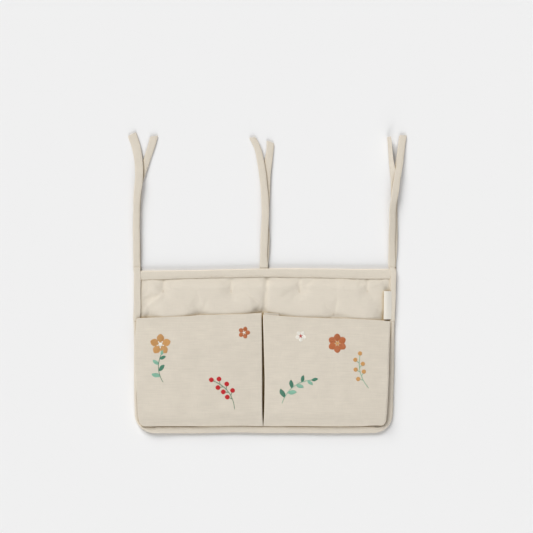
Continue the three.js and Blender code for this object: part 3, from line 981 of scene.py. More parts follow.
def pleated_gusset(name, pocket, top_x, seam_x, inward, fold, fold_drop, mouth):
    """top_x and seam_x give the front's edge and the seam at a height; fold is the pleat's depth."""
    front_tree = front_trees[name.split("_")[0]]
    mouth_edge = np.array(top_x(mouth_inner_y - front_edge_look))
    front_end = float(soft_line(mouth_edge, pocket["mouth"])) - front_end_room
    rings = []
    maps = []
    for up in np.arange(gusset_stations + 1) / gusset_stations:
        front_y = gusset_low + (front_end - gusset_low) * up
        edge = top_x(front_y)
        seam = seam_x(front_y)
        hit = front_tree.ray_cast(Vector((edge, front_y, 0)), Vector((0, 0, 1)))[0]
        top_z = (hit.z if hit else pocket_edge_top - pocket_cloth) - gusset_cloth
        seam_place = gusset_low + (float(mouth(np.array(seam))) - gusset_low) * up
        seam_z = height_on(face_tree, seam, seam_place) + gusset_cloth / 2
        radius = min(pleat_radius, (top_z - seam_z) / 4)
        fold_z = top_z - fold_drop - radius if fold_drop else (top_z + seam_z) / 2
        fold_z = max(fold_z, seam_z + radius)
        line = [(edge, top_z)]
        centre = seam + inward * (fold - radius)
        for step in range(pleat_steps + 1):
            angle = math.radians(90 - 180 * step / pleat_steps)
            reach = inward * radius * math.cos(angle)
            line.append((centre + reach, fold_z + radius * math.sin(angle)))
        line.append((seam, seam_z))
        loop, run = cloth_loop(line, gusset_cloth)
        y = gusset_low + (mouth(loop[:, 0]) - gusset_low) * up
        rings.append(points_at(loop[:, 0], y, loop[:, 1]))
        maps.append(np.stack([run, y], axis=-1))
    return swept_piece(name, rings, maps, gusset_canvas)


outer_seam_inset = binding_width + 0.0012
edge_inset = 0.0014


def outer_seam(pocket, y):
    """Where the outer gusset is sewn to the panel: beside the binding, turning in at the foot."""
    corner_x, corner_y = corner_centre(corner_radius)
    if y >= corner_y:
        return pocket["side"] * (side_half(y) - outer_seam_inset)
    reach = corner_radius - outer_seam_inset
    return pocket["side"] * (corner_x + math.sqrt(reach**2 - min(corner_y - y, reach) ** 2))


for label, pocket in pockets.items():
    side = pocket["side"]
    wide_pleat = label == "right"

    def tucked_end(x):
        return soft_line(x, pocket["mouth"]) - mouth_tuck

    def tab_end_line(x):
        return soft_line(x, pocket["mouth"]) + tab_height * (1 - ease(x, *tab_end))

    outer = pleated_gusset(
        label + "_outer_gusset",
        pocket,
        lambda y: float(outer_edge(pocket, np.array(y))) - side * edge_inset,
        lambda y: outer_seam(pocket, y),
        -side,
        pleat_depth,
        0,
        tucked_end,
    )
    inner = pleated_gusset(
        label + "_inner_gusset",
        pocket,
        lambda y: float(slit_edge(pocket, np.array(y))) + side * edge_inset,
        lambda y: divider_x + side * divider_half_width / 2,
        side,
        wide_pleat_depth if wide_pleat else pleat_depth,
        wide_pleat_drop if wide_pleat else 0,
        tab_end_line if wide_pleat else tucked_end,
    )
    for place, gusset in (("outer", outer), ("inner", inner)):
        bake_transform(gusset)
        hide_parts(f"{label}_pocket_{place}_gusset")


# Top band
# A canvas tape folded over the panel's top edge and topstitched along its foot. It is a little
# wider at the two sides than in the middle.
tape_rgb = (219, 210, 195)
tape_thread_pitch = 0.00055
fold_radius = stack_height / 2
fold_steps = 8
band_station_step = 0.003
stitch_inset = 0.0022
stitch_press = 0.0003
band_widths = [
    (-0.212, 0.0188), (-0.137, 0.0174), (-0.065, 0.0156), (0.013, 0.0146), (0.078, 0.0157),
    (0.156, 0.0175), (0.212, 0.0169),
]
band_bow = 0.0012
band_pucker = (5, 0.009, 0.00012)
seam_puff = 0.00035
stitch_groove_half = 0.0008
stitch_pull_run = 0.003


def band_width_at(x):
    return float(soft_line(np.array(x), band_widths, 0.012))


def folded_tape(front_width, back_width):
    """Tape folded over an edge, as distances in from the edge and heights, with rounded lips."""
    half = tape_thickness / 2
    line = [(back_width - half, half)]
    for share in (0.75, 0.5, 0.25):
        line.append((fold_radius + (back_width - fold_radius) * share, half))
    for step in range(fold_steps + 1):
        angle = math.radians(270 - 180 * step / fold_steps)
        reach = fold_radius - half
        line.append((fold_radius + reach * math.cos(angle), fold_radius + reach * math.sin(angle)))
    stitch = front_width - stitch_inset
    top = stack_height - half
    for share in (0.25, 0.5, 0.75):
        puff = seam_puff * math.sin(math.pi * share)
        line.append((fold_radius + (stitch - fold_radius) * share, top + puff))
    line.append((stitch - stitch_groove_half, top))
    line.append((stitch, top - stitch_press))
    line.append((stitch + stitch_groove_half, top - stitch_press / 2))
    line.append((front_width - half, top - stitch_press * 1.2))
    line = np.array(line)
    outside, inside, along = both_sides(line, half)
    front_lip = line[-1] + along[-1] * half
    back_lip = line[0] - along[0] * half
    run = lengths_along(line)
    section = np.vstack([outside, front_lip, inside, back_lip])
    return section, np.concatenate([run, run[-1:] + half, run[::-1], [-half]])


def wave_at(place, seed, length, depth):
    return soft_waves(np.array([place]), np.array([0.0]), seed, length, depth)[0]


def puckered(section, width, place, pucker):
    """The section's heights at a place along the tape, drawn up and down beside its stitches."""
    near_stitch = np.exp(-((section[:, 0] - width + stitch_inset) / stitch_pull_run) ** 2)
    return section[:, 1] + wave_at(place, *pucker) * near_stitch * (section[:, 1] > fold_radius)


tape_cotton = woven_cotton("tape_cotton", tape_rgb, tape_thread_pitch, 0.9, 0.045)
band_end = float(side_half(panel_top - band_width)) - binding_width + 0.004
band_x = np.linspace(-band_end, band_end, int(2 * band_end / band_station_step))
rings = []
maps = []
for place_x in band_x:
    width = band_width_at(place_x)
    section, run = folded_tape(width, band_width)
    top = panel_top - band_bow * (abs(place_x) / panel_half) ** 2
    lifted = puckered(section, width, place_x, band_pucker)
    rings.append(points_at(np.full(len(section), place_x), top - section[:, 0], lifted))
    maps.append(np.stack([np.full(len(run), place_x), run], axis=-1))
top_band = swept_piece("folded_top_band", rings, maps, tape_cotton)
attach(top_band, "panel")
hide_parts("top_band")


# Edge binding
# One long tape folded over the two sides, the bottom and the rounded corners, and topstitched
# near its inner edge.
binding_step = 0.0028
corner_stations = 26
nose_angles = (78, 55, 34, 16)
corner_bulge = 0.0016
bulge_inset = 0.0024
bulge_across = (0.14, 0.19)
bulge_up = (-0.078, -0.058)
bulge_spread = 0.0018
binding_wander = (11, 0.07, 0.00035)
binding_pucker = (12, 0.010, 0.00014)


def binding_path():
    """Points on the left edge from the top to the middle of the foot, and the way in from it."""
    corner_x, corner_y = corner_centre(corner_radius)
    path = []
    for angle in nose_angles:
        y = panel_top - fold_radius + fold_radius * math.sin(math.radians(angle))
        path.append((-float(side_half(y)), y, 1.0, 0.0, math.cos(math.radians(angle))))
    start = panel_top - fold_radius
    foot_y = corner_y - corner_radius * math.sin(lean_angle)
    for y in np.linspace(start, foot_y, int((start - foot_y) / binding_step)):
        path.append((-float(side_half(y)), y, 1.0, 0.0, 1.0))
    for step in range(1, corner_stations):
        angle = -lean_angle + (lean_angle - math.pi / 2) * step / corner_stations
        path.append((
            -corner_x - corner_radius * math.cos(angle),
            corner_y + corner_radius * math.sin(angle),
            math.cos(angle),
            -math.sin(angle),
            1.0,
        ))
    for x in np.linspace(-corner_x, 0, int(corner_x / binding_step)):
        path.append((x, panel_foot, 0.0, 1.0, 1.0))
    return path


half_path = binding_path()
whole_path = half_path + [(-x, y, -in_x, in_y, tall) for x, y, in_x, in_y, tall in half_path[-2::-1]]
binding_section, binding_run = folded_tape(binding_width, binding_width)
rings = []
maps = []
travelled = 0.0
previous = None
for x, y, in_x, in_y, tall in whole_path:
    if previous is not None:
        travelled += math.hypot(x - previous[0], y - previous[1])
    previous = (x, y)
    inward = binding_section[:, 0]
    share_in = np.clip(inward / binding_width, 0, 1)
    beside_front = ease(-x, *bulge_across) * (1 - ease(y, *bulge_up))
    bulge = corner_bulge * beside_front * np.exp(-((inward - bulge_inset) / bulge_spread) ** 2)
    z = puckered(binding_section, binding_width, travelled, binding_pucker)
    z = z + bulge * (binding_section[:, 1] > fold_radius)
    reach = inward + wave_at(travelled, *binding_wander) * share_in
    rings.append(points_at(
        x + in_x * reach, y + in_y * reach, fold_radius + (z - fold_radius) * tall
    ))
    maps.append(np.stack([binding_run, np.full(len(binding_run), travelled)], axis=-1))
edge_binding = swept_piece("folded_edge_binding", rings, maps, tape_cotton)
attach(edge_binding, "panel")
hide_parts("edge_binding")


# Topstitching
# Rows of short stitches of cotton thread hold the tapes down, front and back, and close the seam
# between the pockets.
stitch_pitch = 0.0031
stitch_length = 0.0023
stitch_radius = 0.00024
stitch_seat = 0.00004
divider_seat = 0.00005
divider_row_aside = 0.0026
divider_row_steps = 60


def stitch_row_tree():
    """Short threads at an even pitch along every edge line of a mesh."""
    tree, given, result = start_tree("stitch_row", [
        ("Pitch", stitch_pitch),
        ("Stitch length", stitch_length),
        ("Thread radius", stitch_radius),
    ])
    curve = new_node(tree, "GeometryNodeMeshToCurve", {"Mesh": given.outputs["Line"]})
    inputs = {"Curve": curve.outputs["Curve"], "Length": given.outputs["Pitch"]}
    spaced = new_node(tree, "GeometryNodeResampleCurve", inputs, mode="LENGTH")
    thread = new_node(tree, "GeometryNodeMeshUVSphere", {"Segments": 6, "Rings": 4, "Radius": 1})
    run = new_node(tree, "GeometryNodeInputTangent", {}).outputs["Tangent"]
    turn = new_node(tree, "FunctionNodeAlignRotationToVector", {"Vector": run}, axis="Z")
    radius = given.outputs["Thread radius"]
    half_length = arithmetic(tree, "MULTIPLY", given.outputs["Stitch length"], 0.5)
    shape = new_node(tree, "ShaderNodeCombineXYZ", {"X": radius, "Y": radius, "Z": half_length})
    place = new_node(tree, "GeometryNodeInstanceOnPoints", {
        "Points": spaced.outputs["Curve"],
        "Instance": thread.outputs["Mesh"],
        "Rotation": turn.outputs["Rotation"],
        "Scale": shape.outputs["Vector"],
    })
    return finish_tree(tree, place.outputs["Instances"], given.outputs["Thread"], result)


stitch_row = stitch_row_tree()
stitch_top = stack_height - stitch_press + stitch_seat
row_inset = binding_width - stitch_inset
band_row = [
    (x, panel_top - band_width_at(x) + stitch_inset, stitch_top) for x in band_x[3:-3]
]
binding_row = [
    (x + in_x * row_inset, y + in_y * row_inset, stitch_top)
    for x, y, in_x, in_y, _ in whole_path[len(nose_angles) + 1 : -len(nose_angles) - 1]
]
front_rows = [band_row, binding_row]
back_rows = [[(x, y, 0.0) for x, y, _ in row] for row in front_rows]
divider_rows = []
for row_x in (divider_x - divider_row_aside, divider_x + divider_row_aside):
    row_y = np.linspace(seam_y + 0.004, mouth_inner_y, divider_row_steps).tolist()
    divider_rows.append([(row_x, y, height_on(face_tree, row_x, y) + divider_seat) for y in row_y])
all_rows = (("tape_topstitching", front_rows + divider_rows), ("back_topstitching", back_rows))
for name, rows in all_rows:
    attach(grown(name, rows, stitch_row, sewing_thread), "panel")


# Embroidery
# Plain country motifs in satin stitch on the two fronts: round blossoms, sprays of leaves and
# sprigs of berries. Every stitch is one thread laid over the canvas.
satin_pitch = 0.00043
satin_radius = 0.00029
satin_lift = 0.00045
stem_pitch = 0.0011
stem_stitch = 0.0028
stem_slant = 0.00028
stem_look = 0.0004
embroidery_rgb = {
    "rust": (190, 112, 68),
    "red": (197, 38, 44),
    "mint": (142, 192, 168),
    "green": (78, 134, 110),
    "ochre": (207, 157, 98),
    "cream": (240, 236, 226),
}


def rungs(start, end, width, slant=0.0, power=0.75):
    """Satin stitches across a leaf or petal that runs from start to end, widest half way."""
    start = np.array(start)
    run = np.array(end) - start
    length = np.linalg.norm(run)
    ahead = run / length
    aside = np.array([-ahead[1], ahead[0]])
    stitches = []
    for k in range(int(length / satin_pitch)):
        share = (k + 0.5) * satin_pitch / length
        half = width / 2 * math.sin(math.pi * share) ** power
        middle = start + ahead * length * share
        lean = ahead * slant * half
        stitches.append((middle - aside * half - lean, middle + aside * half + lean))
    return stitches


def berry(centre, radius):
    x, y = centre
    return rungs((x - radius, y), (x + radius, y), 2 * radius, 0, 0.5)


def stem(points):
    """Stem stitch: short overlapping stitches that lie slightly across the line."""
    points = np.array(points)
    lengths = lengths_along(points)

    def at(along):
        return np.array([np.interp(along, lengths, points[:, axis]) for axis in (0, 1)])

    stitches = []
    for along in np.arange(0, lengths[-1] - 0.0012, stem_pitch):
        ends = []
        for reach, aside in ((0, -stem_slant), (stem_stitch, stem_slant)):
            place = min(along + reach, lengths[-1])
            run = at(place + stem_look) - at(place - stem_look)
            run = run / max(np.linalg.norm(run), 1e-9)
            ends.append(at(place) + np.array([-run[1], run[0]]) * aside)
        stitches.append(tuple(ends))
    return stitches


def arc(start, end, bow, steps=24):
    """Points on a bowed line; bow is how far its middle lies to the left of the way there."""
    start = np.array(start)
    end = np.array(end)
    aside = np.array([-(end - start)[1], (end - start)[0]])
    aside = aside / np.linalg.norm(aside)
    shares = np.linspace(0, 1, steps)[:, None]
    return start + (end - start) * shares + aside * bow * 4 * shares * (1 - shares)


def along_arc(points, share):
    at = share * (len(points) - 1)
    low = min(int(at), len(points) - 2)
    here = points[low] + (points[low + 1] - points[low]) * (at - low)
    run = points[low + 1] - points[low]
    return here, math.degrees(math.atan2(run[1], run[0]))


def towards(place, degrees, reach):
    turn = math.radians(degrees)
    return np.array(place) + reach * np.array([math.cos(turn), math.sin(turn)])


def blossom(work, centre, petal, petals, turn, colour, heart):
    """Round petals about a ring of small knots."""
    for k in range(petals):
        angle = turn + 360 * k / petals
        root = towards(centre, angle, petal * 0.24)
        tip = towards(centre, angle, petal * 1.16)
        work[colour] += rungs(root, tip, petal * 0.82, 0, 0.6)
    work[heart] += berry(centre, petal * 0.2)
    for k in range(petals):
        angle = turn + 360 * (k + 0.5) / petals
        work[heart] += berry(towards(centre, angle, petal * 0.36), petal * 0.07)


def spray(work, start, end, bow, leaves, leaf, colours):
    """A stem with leaves in turn on its two sides and one at its end."""
    line = arc(start, end, bow)
    work[colours[1]] += stem(line)
    for k in range(leaves):
        here, heading = along_arc(line, (k + 1) / (leaves + 0.6))
        side = 1 if k % 2 == 0 else -1
        turn = heading + side * 52
        size = leaf * (1 - 0.35 * k / leaves)
        work[colours[k % 2]] += rungs(here, towards(here, turn, size), size * 0.5, 0.35, 0.8)
    here, heading = along_arc(line, 1)
    work[colours[0]] += rungs(here, towards(here, heading, leaf * 0.7), leaf * 0.34, 0.35, 0.8)


def berry_sprig(work, start, end, bow, berries, radius, stalk, colours):
    """A stem with berries on short stalks."""
    line = arc(start, end, bow)
    work[colours[1]] += stem(line)
    for k in range(berries):
        here, heading = along_arc(line, 0.3 + 0.7 * k / (berries - 1))
        side = 1 if k % 2 == 0 else -1
        turn = heading + side * (48 if k < berries - 1 else 0)
        tip = towards(here, turn, stalk)
        work[colours[1]] += stem([here, tip])
        work[colours[0]] += berry(towards(here, turn, stalk + radius * 0.8), radius)


def left_design():
    work = {colour: [] for colour in embroidery_rgb}
    blossom(work, (-0.177, 0.012), 0.0150, 5, 90, "ochre", "cream")
    spray(work, (-0.172, -0.052), (-0.176, -0.006), 0.006, 4, 0.0150, ("mint", "green"))
    berry_sprig(work, (-0.052, -0.098), (-0.083, -0.052), -0.008, 7, 0.0040, 0.006, ("red", "green"))
    blossom(work, (-0.036, 0.032), 0.0088, 5, 72, "rust", "cream")
    return work


def right_design():
    work = {colour: [] for colour in embroidery_rgb}
    spray(work, (0.028, -0.088), (0.078, -0.048), 0.010, 6, 0.0160, ("green", "mint"))
    blossom(work, (0.122, 0.014), 0.0140, 6, 90, "rust", "ochre")
    berry_sprig(work, (0.176, -0.062), (0.160, -0.012), 0.006, 6, 0.0036, 0.006, ("ochre", "mint"))
    blossom(work, (0.060, 0.026), 0.0080, 5, 54, "cream", "red")
    return work


def laid_stitch(tree, start, end):
    """One stitch as a low arch over the canvas, going into it at both ends."""
    line = []
    for share in (0, 0.12, 0.35, 0.65, 0.88, 1):
        x, y = np.array(start) + (np.array(end) - np.array(start)) * share
        lift = satin_lift * (1 - (2 * share - 1) ** 4) - satin_radius * 0.6
        line.append((x, y, height_on(tree, x, y, pocket_edge_top) + lift))
    return line


for label, design in (("left", left_design()), ("right", right_design())):
    for colour, stitches in design.items():
        if not stitches:
            continue
        lines = [laid_stitch(front_trees[label], *ends) for ends in stitches]
        name = f"{label}_{colour}_embroidery"
        thread = bpy.data.materials.get(colour + "_thread")
        if thread is None:
            thread = spun_thread(colour + "_thread", embroidery_rgb[colour], 0.5, 0.0005)
        motif = grown(name, lines, laid_thread, thread, Thread_radius=satin_radius)
        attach(motif, label + "_pocket")


# Side label
# A short loop of cream satin ribbon, folded and caught in the right binding. It is left bare.
label_rgb = (232, 227, 216)
label_low, label_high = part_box("side_label")
label_cloth = 0.0003
label_crown = 0.0026
label_fold = 0.0008
label_ends = (label_low.y + 0.0004, label_high.y)
label_sewn_x = label_low.x + 0.0146
label_fold_x = label_low.x + 0.0010
label_over = 0.0010
label_under = 0.0003
label_rows = 34
label_turns = 10


def satin_ribbon(name, rgb):
    material, tree = new_material(name, {
        "Base Color": (*linear(rgb), 1),
        "Roughness": 0.42,
        "Anisotropic": 0.5,
        "Sheen Weight": 0.2,
    })
    ribs = stretched_noise(tree, cloth_places(tree), (300, 5200, 1), 2)
    add_looks(tree, None, ribs, 0.4, 0.00008)
    return material


def label_loop():
    """A ribbon loop: out of the binding, over a soft crown, round its fold and back underneath."""
    wide = label_sewn_x - label_fold_x
    rings = []
    maps = []
    for share in np.linspace(0, 1, label_rows):
        y = label_ends[0] + (label_ends[1] - label_ends[0]) * share
        crown = label_crown * (0.4 + 0.6 * math.sin(math.pi * min(1, share / 2 + 0.1)))
        line = [(label_sewn_x, stack_height + 0.0007)]
        for out, rise in ((0.30, 0.45), (0.55, 0.95), (0.80, 0.90)):
            line.append((label_sewn_x - wide * out, stack_height + label_over + crown * rise))
        middle_z = stack_height + 0.0008 + crown * 0.40
        fold_rise = 0.0002 + crown * 0.38
        for step in range(label_turns + 1):
            angle = math.radians(90 + 180 * step / label_turns)
            out_x = label_fold_x + label_fold * (1 + math.cos(angle))
            line.append((out_x, middle_z + fold_rise * math.sin(angle)))
        line.append((label_sewn_x - wide * 0.45, stack_height + label_under))
        line.append((label_sewn_x, stack_height + label_under))
        loop, run = cloth_loop(line, label_cloth)
        across = np.full(len(loop), y)
        rings.append(points_at(loop[:, 0], across, loop[:, 1]))
        maps.append(np.stack([run, across], axis=-1))
    return swept_piece("bare_side_label", rings, maps, satin_ribbon("cream_satin", label_rgb))


side_label = label_loop()
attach(side_label, "panel")
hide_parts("side_label")


# How the panel lies
# The cut shape is even. As it lies, its foot has moved over to the left, the band sags towards its
# left end and the foot is drawn up a little. This goes over every piece but the ties.
left_drift = [
    (-0.141, -0.0030), (-0.128, -0.0028), (-0.116, -0.0024), (-0.100, -0.0022), (-0.083, -0.0028),
    (-0.050, -0.0026), (0.010, -0.0016), (0.036, -0.0017), (0.056, -0.0026), (0.078, -0.0012),
    (0.130, -0.0003),
]
right_drift = [
    (-0.141, -0.0030), (-0.114, -0.0039), (-0.100, -0.0029), (-0.066, -0.0027), (-0.041, -0.0020),
    (0.036, -0.0022), (0.056, -0.0015), (0.078, -0.0009), (0.104, -0.0010), (0.130, -0.0005),
]
band_sag = [
    (-0.205, 0.0030), (-0.111, 0.0030), (-0.077, 0.0017), (-0.043, 0.0012), (-0.017, 0.0005),
    (0.025, 0), (0.110, 0.0002), (0.161, 0.0008), (0.195, 0),
]
foot_draw = [
    (-0.180, 0.0013), (-0.111, 0.0013), (-0.077, 0.0022), (-0.043, 0.0027), (-0.005, 0.0018),
    (0.060, 0.0018), (0.110, 0.0011), (0.161, 0.0014), (0.187, 0.0020),
]
foot_draw_run = 0.05
drift_power = 4


def drawn(points):
    """The places where points of the evenly cut panel lie."""
    x, y = points[:, 0], points[:, 1]
    drift = np.where(x < 0, soft_line(y, left_drift), soft_line(y, right_drift))
    sag = soft_line(x, band_sag, 0.012) * ease(y, panel_top - band_width, panel_top)
    draw = soft_line(x, foot_draw, 0.012) * (1 - ease(y, panel_foot, panel_foot + foot_draw_run))
    return points_at(x + drift * np.abs(x / panel_half) ** drift_power, y - sag + draw, points[:, 2])


for piece in bpy.context.scene.objects:
    if piece.type != "MESH" or piece in cad_pieces:
        continue
    places = np.empty(3 * len(piece.data.vertices))
    piece.data.vertices.foreach_get("co", places)
    piece.data.vertices.foreach_set("co", drawn(places.reshape(-1, 3)).ravel())
    piece.data.update()


# Tie tapes
# Six narrow tapes, folded in half lengthwise and stitched, leave the top edge in pairs. The outer
# front ones run on from the side bindings. They lie on the floor in easy curves.
tie_length = 0.230
tie_thickness = 0.0016
tie_root_straight = 0.007
tie_stations = 110
tie_sway = (0.06, 0.0003)
tie_fullness = (0.045, 0.0005)
fullness_seeds = 40
tip_round = 0.0016
tip_slant_run = 0.02
sewn_thinness = 0.2
groove_inset = 0.0021
groove_half = 0.0007
groove_point = 7
seam_seat = 0.00008
seam_end_stations = 3
left_front_route = [
    (0.10, -0.001, 0.024, 0), (0.18, -0.002, 0.028, 0), (0.3, -0.003, 0.028, 0),
    (0.5, 0.002, 0.032, 0), (0.66, 0.014, 0.03, 0), (0.78, 0.012, 0.018, 0),
    (0.9, -0.006, 0.006, 0), (0.99, -0.037, 0.002, 0),
]
left_back_route = [
    (0.10, 0, 0.012, 0), (0.18, 0, 0.016, 0), (0.3, -0.002, 0.016, 0),
    (0.5, 0.002, 0.018, 0), (0.62, 0.014, 0.015, 0), (0.7, 0.038, 0.009, 0),
    (0.8, 0.072, 0.004, 0), (0.9, 0.104, 0.003, 0), (0.975, 0.124, 0.002, 0),
]
centre_front_route = [
    (0.10, 0.0004, 0.022, 0), (0.16, 0.0012, 0.025, 0), (0.22, 0.003, 0.025, 0),
    (0.34, 0.009, 0.024, 0), (0.45, 0.009, 0.025, 0), (0.57, 0.002, 0.028, 0),
    (0.69, -0.009, 0.024, 0), (0.81, -0.027, 0.016, 0), (0.9, -0.053, 0.006, 0),
    (0.965, -0.085, 0.002, 0),
]
centre_back_route = [
    (0.10, 0.005, 0.010, 0), (0.16, 0.008, 0.013, 0), (0.22, 0.0105, 0.013, 0),
    (0.34, 0.004, 0.011, 0), (0.45, 0.007, 0.012, 0), (0.57, 0.0115, 0.014, 0),
    (0.69, 0.017, 0.011, 0), (0.81, 0.031, 0.006, 0), (0.88, 0.038, 0.003, 0),
    (0.932, 0.040, 0.002, 0),
]
right_front_route = [
    (0.12, -0.001, 0.02, 6), (0.3, 0, 0.024, 16), (0.45, 0.004, 0.030, 14), (0.55, 0.022, 0.036, 5),
    (0.63, 0.032, 0.038, 0), (0.716, 0.044, 0.032, 0), (0.8, 0.055, 0.020, 0), (0.89, 0.069, 0.010, 0),
    (0.98, 0.084, 0.003, 0),
]
right_back_route = [
    (0.12, 0.007, 0.01, 4), (0.3, 0.010, 0.008, 12), (0.46, 0.011, 0.014, 8), (0.55, 0.011, 0.016, -3),
    (0.63, 0.008, 0.012, -12), (0.716, -0.003, 0.008, -32), (0.8, -0.013, 0.006, -56),
    (0.89, -0.021, 0.004, -64), (0.968, -0.029, 0.004, -64),
]
ties = {
    "left_front": {
        "route": left_front_route, "tip_slant": 8, "runs_on": -1, "seed": 21,
        "widths": [(0, 0.0122), (0.22, 0.0112), (0.42, 0.0116), (0.6, 0.0128), (0.85, 0.0148), (1, 0.0150)],
    },
    "left_back": {
        "route": left_back_route, "tip_slant": 22, "runs_on": 0, "seed": 22,
        "widths": [(0, 0.0118), (0.3, 0.0108), (0.6, 0.0124), (1, 0.0124)],
    },
    "centre_front": {
        "route": centre_front_route, "tip_slant": -24, "runs_on": 0, "seed": 23,
        "widths": [(0, 0.0134), (0.1, 0.0122), (0.6, 0.0124), (0.86, 0.0118), (1, 0.0098)],
    },
    "centre_back": {
        "route": centre_back_route, "tip_slant": -18, "runs_on": 0, "seed": 24,
        "widths": [(0, 0.0124), (0.6, 0.0126), (0.85, 0.0132), (1, 0.0130)],
    },
    "right_front": {
        "route": right_front_route, "tip_slant": 8, "runs_on": 1, "seed": 25,
        "widths": [(0, 0.0118), (0.4, 0.0118), (0.6, 0.0116), (0.8, 0.0126), (1, 0.0130)],
    },
    "right_back": {
        "route": right_back_route, "tip_slant": 0, "runs_on": 0, "seed": 26,
        "widths": [(0, 0.0118), (0.6, 0.0118), (1, 0.0124)],
    },
}
tie_nominal_width = 0.0124
lead_length = 0.090
lead_taper = (panel_top - lead_length, panel_top - lead_length / 2)
lead_widths = {-1: (0.0108, 0.0118), 1: (0.0076, 0.0096)}
joint_places = {joint["child"]: Vector(joint["pos_m"]) for joint in frame["joints"]}


def smooth_route(points, share):
    """A point on a centripetal spline through the points."""
    along = share * (len(points) - 1)
    low = min(int(along), len(points) - 2)
    local = along - low
    p1 = points[low]
    p2 = points[low + 1]
    p0 = points[low - 1] if low > 0 else 2 * p1 - p2
    p3 = points[low + 2] if low + 2 < len(points) else 2 * p2 - p1
    gap0, gap1, gap2 = (math.sqrt(np.linalg.norm(b - a)) for a, b in ((p0, p1), (p1, p2), (p2, p3)))
    leave = ((p1 - p0) / gap0 - (p2 - p0) / (gap0 + gap1) + (p2 - p1) / gap1) * gap1
    arrive = ((p2 - p1) / gap1 - (p3 - p1) / (gap1 + gap2) + (p3 - p2) / gap2) * gap1
    cubic = 2 * p1 - 2 * p2 + leave + arrive
    square = -3 * p1 + 3 * p2 - 2 * leave - arrive
    return p1 + local * (leave + local * (square + local * cubic))


def tape_section(width, thin):
    """Across a folded and stitched tape: a full fold at one edge, a groove along the other."""
    half = width / 2
    body = tie_thickness / 2
    groove = half - groove_inset
    shares = [
        (-half, 0.0), (-half + 0.0003, 0.55), (-half + 0.0009, 0.95), (-half * 0.5, 1.0), (0.0, 0.93),
        (half * 0.45, 0.95), (groove - groove_half, 0.92), (groove, 0.62), (groove + groove_half, 0.85),
        (half - 0.0006, 0.72), (half, 0.0),
    ]
    upper = [(a, body * t) for a, t in shares]
    lower = [(a, -body * t) for a, t in shares[-2:0:-1]]
    return np.array(upper + lower) * np.array([1, thin])


def rolled_half(roll, width):
    return width / 2 * math.sin(abs(roll)) + tie_thickness / 2 * math.cos(roll)


def lead_width(runs_on, y):
    """Width of the tape where it lies along a side binding, narrower at its lower end."""
    low, high = lead_widths[runs_on]
    return np.interp(y, (panel_top - lead_length, panel_top - 0.006), (low, high))


def sewn_end(root, runs_on):
    """Where the tape is caught: laid along the side binding, or inside the band's fold."""
    if not runs_on:
        return np.array([
            (root[0], panel_top - 0.0075, root[2]),
            (root[0], panel_top - 0.0030, root[2]),
            (root[0], root[1] + 0.0008, root[2]),
        ])
    lead = []
    for y in np.linspace(panel_top - lead_length, panel_top - 0.006, 24):
        inset = float(lead_width(runs_on, y)) / 2 + 0.0012 * (1 - float(ease(y, *lead_taper)))
        centre_x = runs_on * (float(side_half(y)) - inset)
        lead.append((*drawn(np.array([[centre_x, y, 0.0]]))[0][:2], stack_height + 0.0004))
    lead.append((root[0], panel_top - 0.0028, stack_height + 0.0001))
    lead.append((root[0], panel_top - 0.0008, stack_height - 0.0007))
    lead.append((root[0], root[1] + 0.0008, root[2] + 0.0005))
    return np.array(lead)


def tie_width(tie, share):
    return float(soft_line(np.array(share), tie["widths"], 0.05))


def tie_line(root, tie):
    """The tape's middle line from its sewn end, its roll along it, and its count of sewn places."""
    points = [root, root + np.array([0, tie_root_straight, 0])]
    rolls = [0.0, 0.0]
    for along, sideways, up, degrees in tie["route"]:
        roll = math.radians(degrees)
        rolls.append(roll)
        points.append(np.array([
            root[0] + sideways * tie_length,
            root[1] + along * tie_length,
            rolled_half(roll, tie_nominal_width) + up * tie_length,
        ]))
    centres = []
    turns = []
    for share in np.linspace(0, 1, tie_stations):
        centre = smooth_route(points, share)
        roll = float(np.interp(share * (len(rolls) - 1), range(len(rolls)), rolls))
        centre[2] = max(centre[2], rolled_half(roll, tie_width(tie, share)))
        centres.append(centre)
        turns.append(roll)
    sewn = sewn_end(root, tie["runs_on"])
    return np.vstack([sewn, centres[1:]]), [0.0] * len(sewn) + turns[1:], len(sewn)


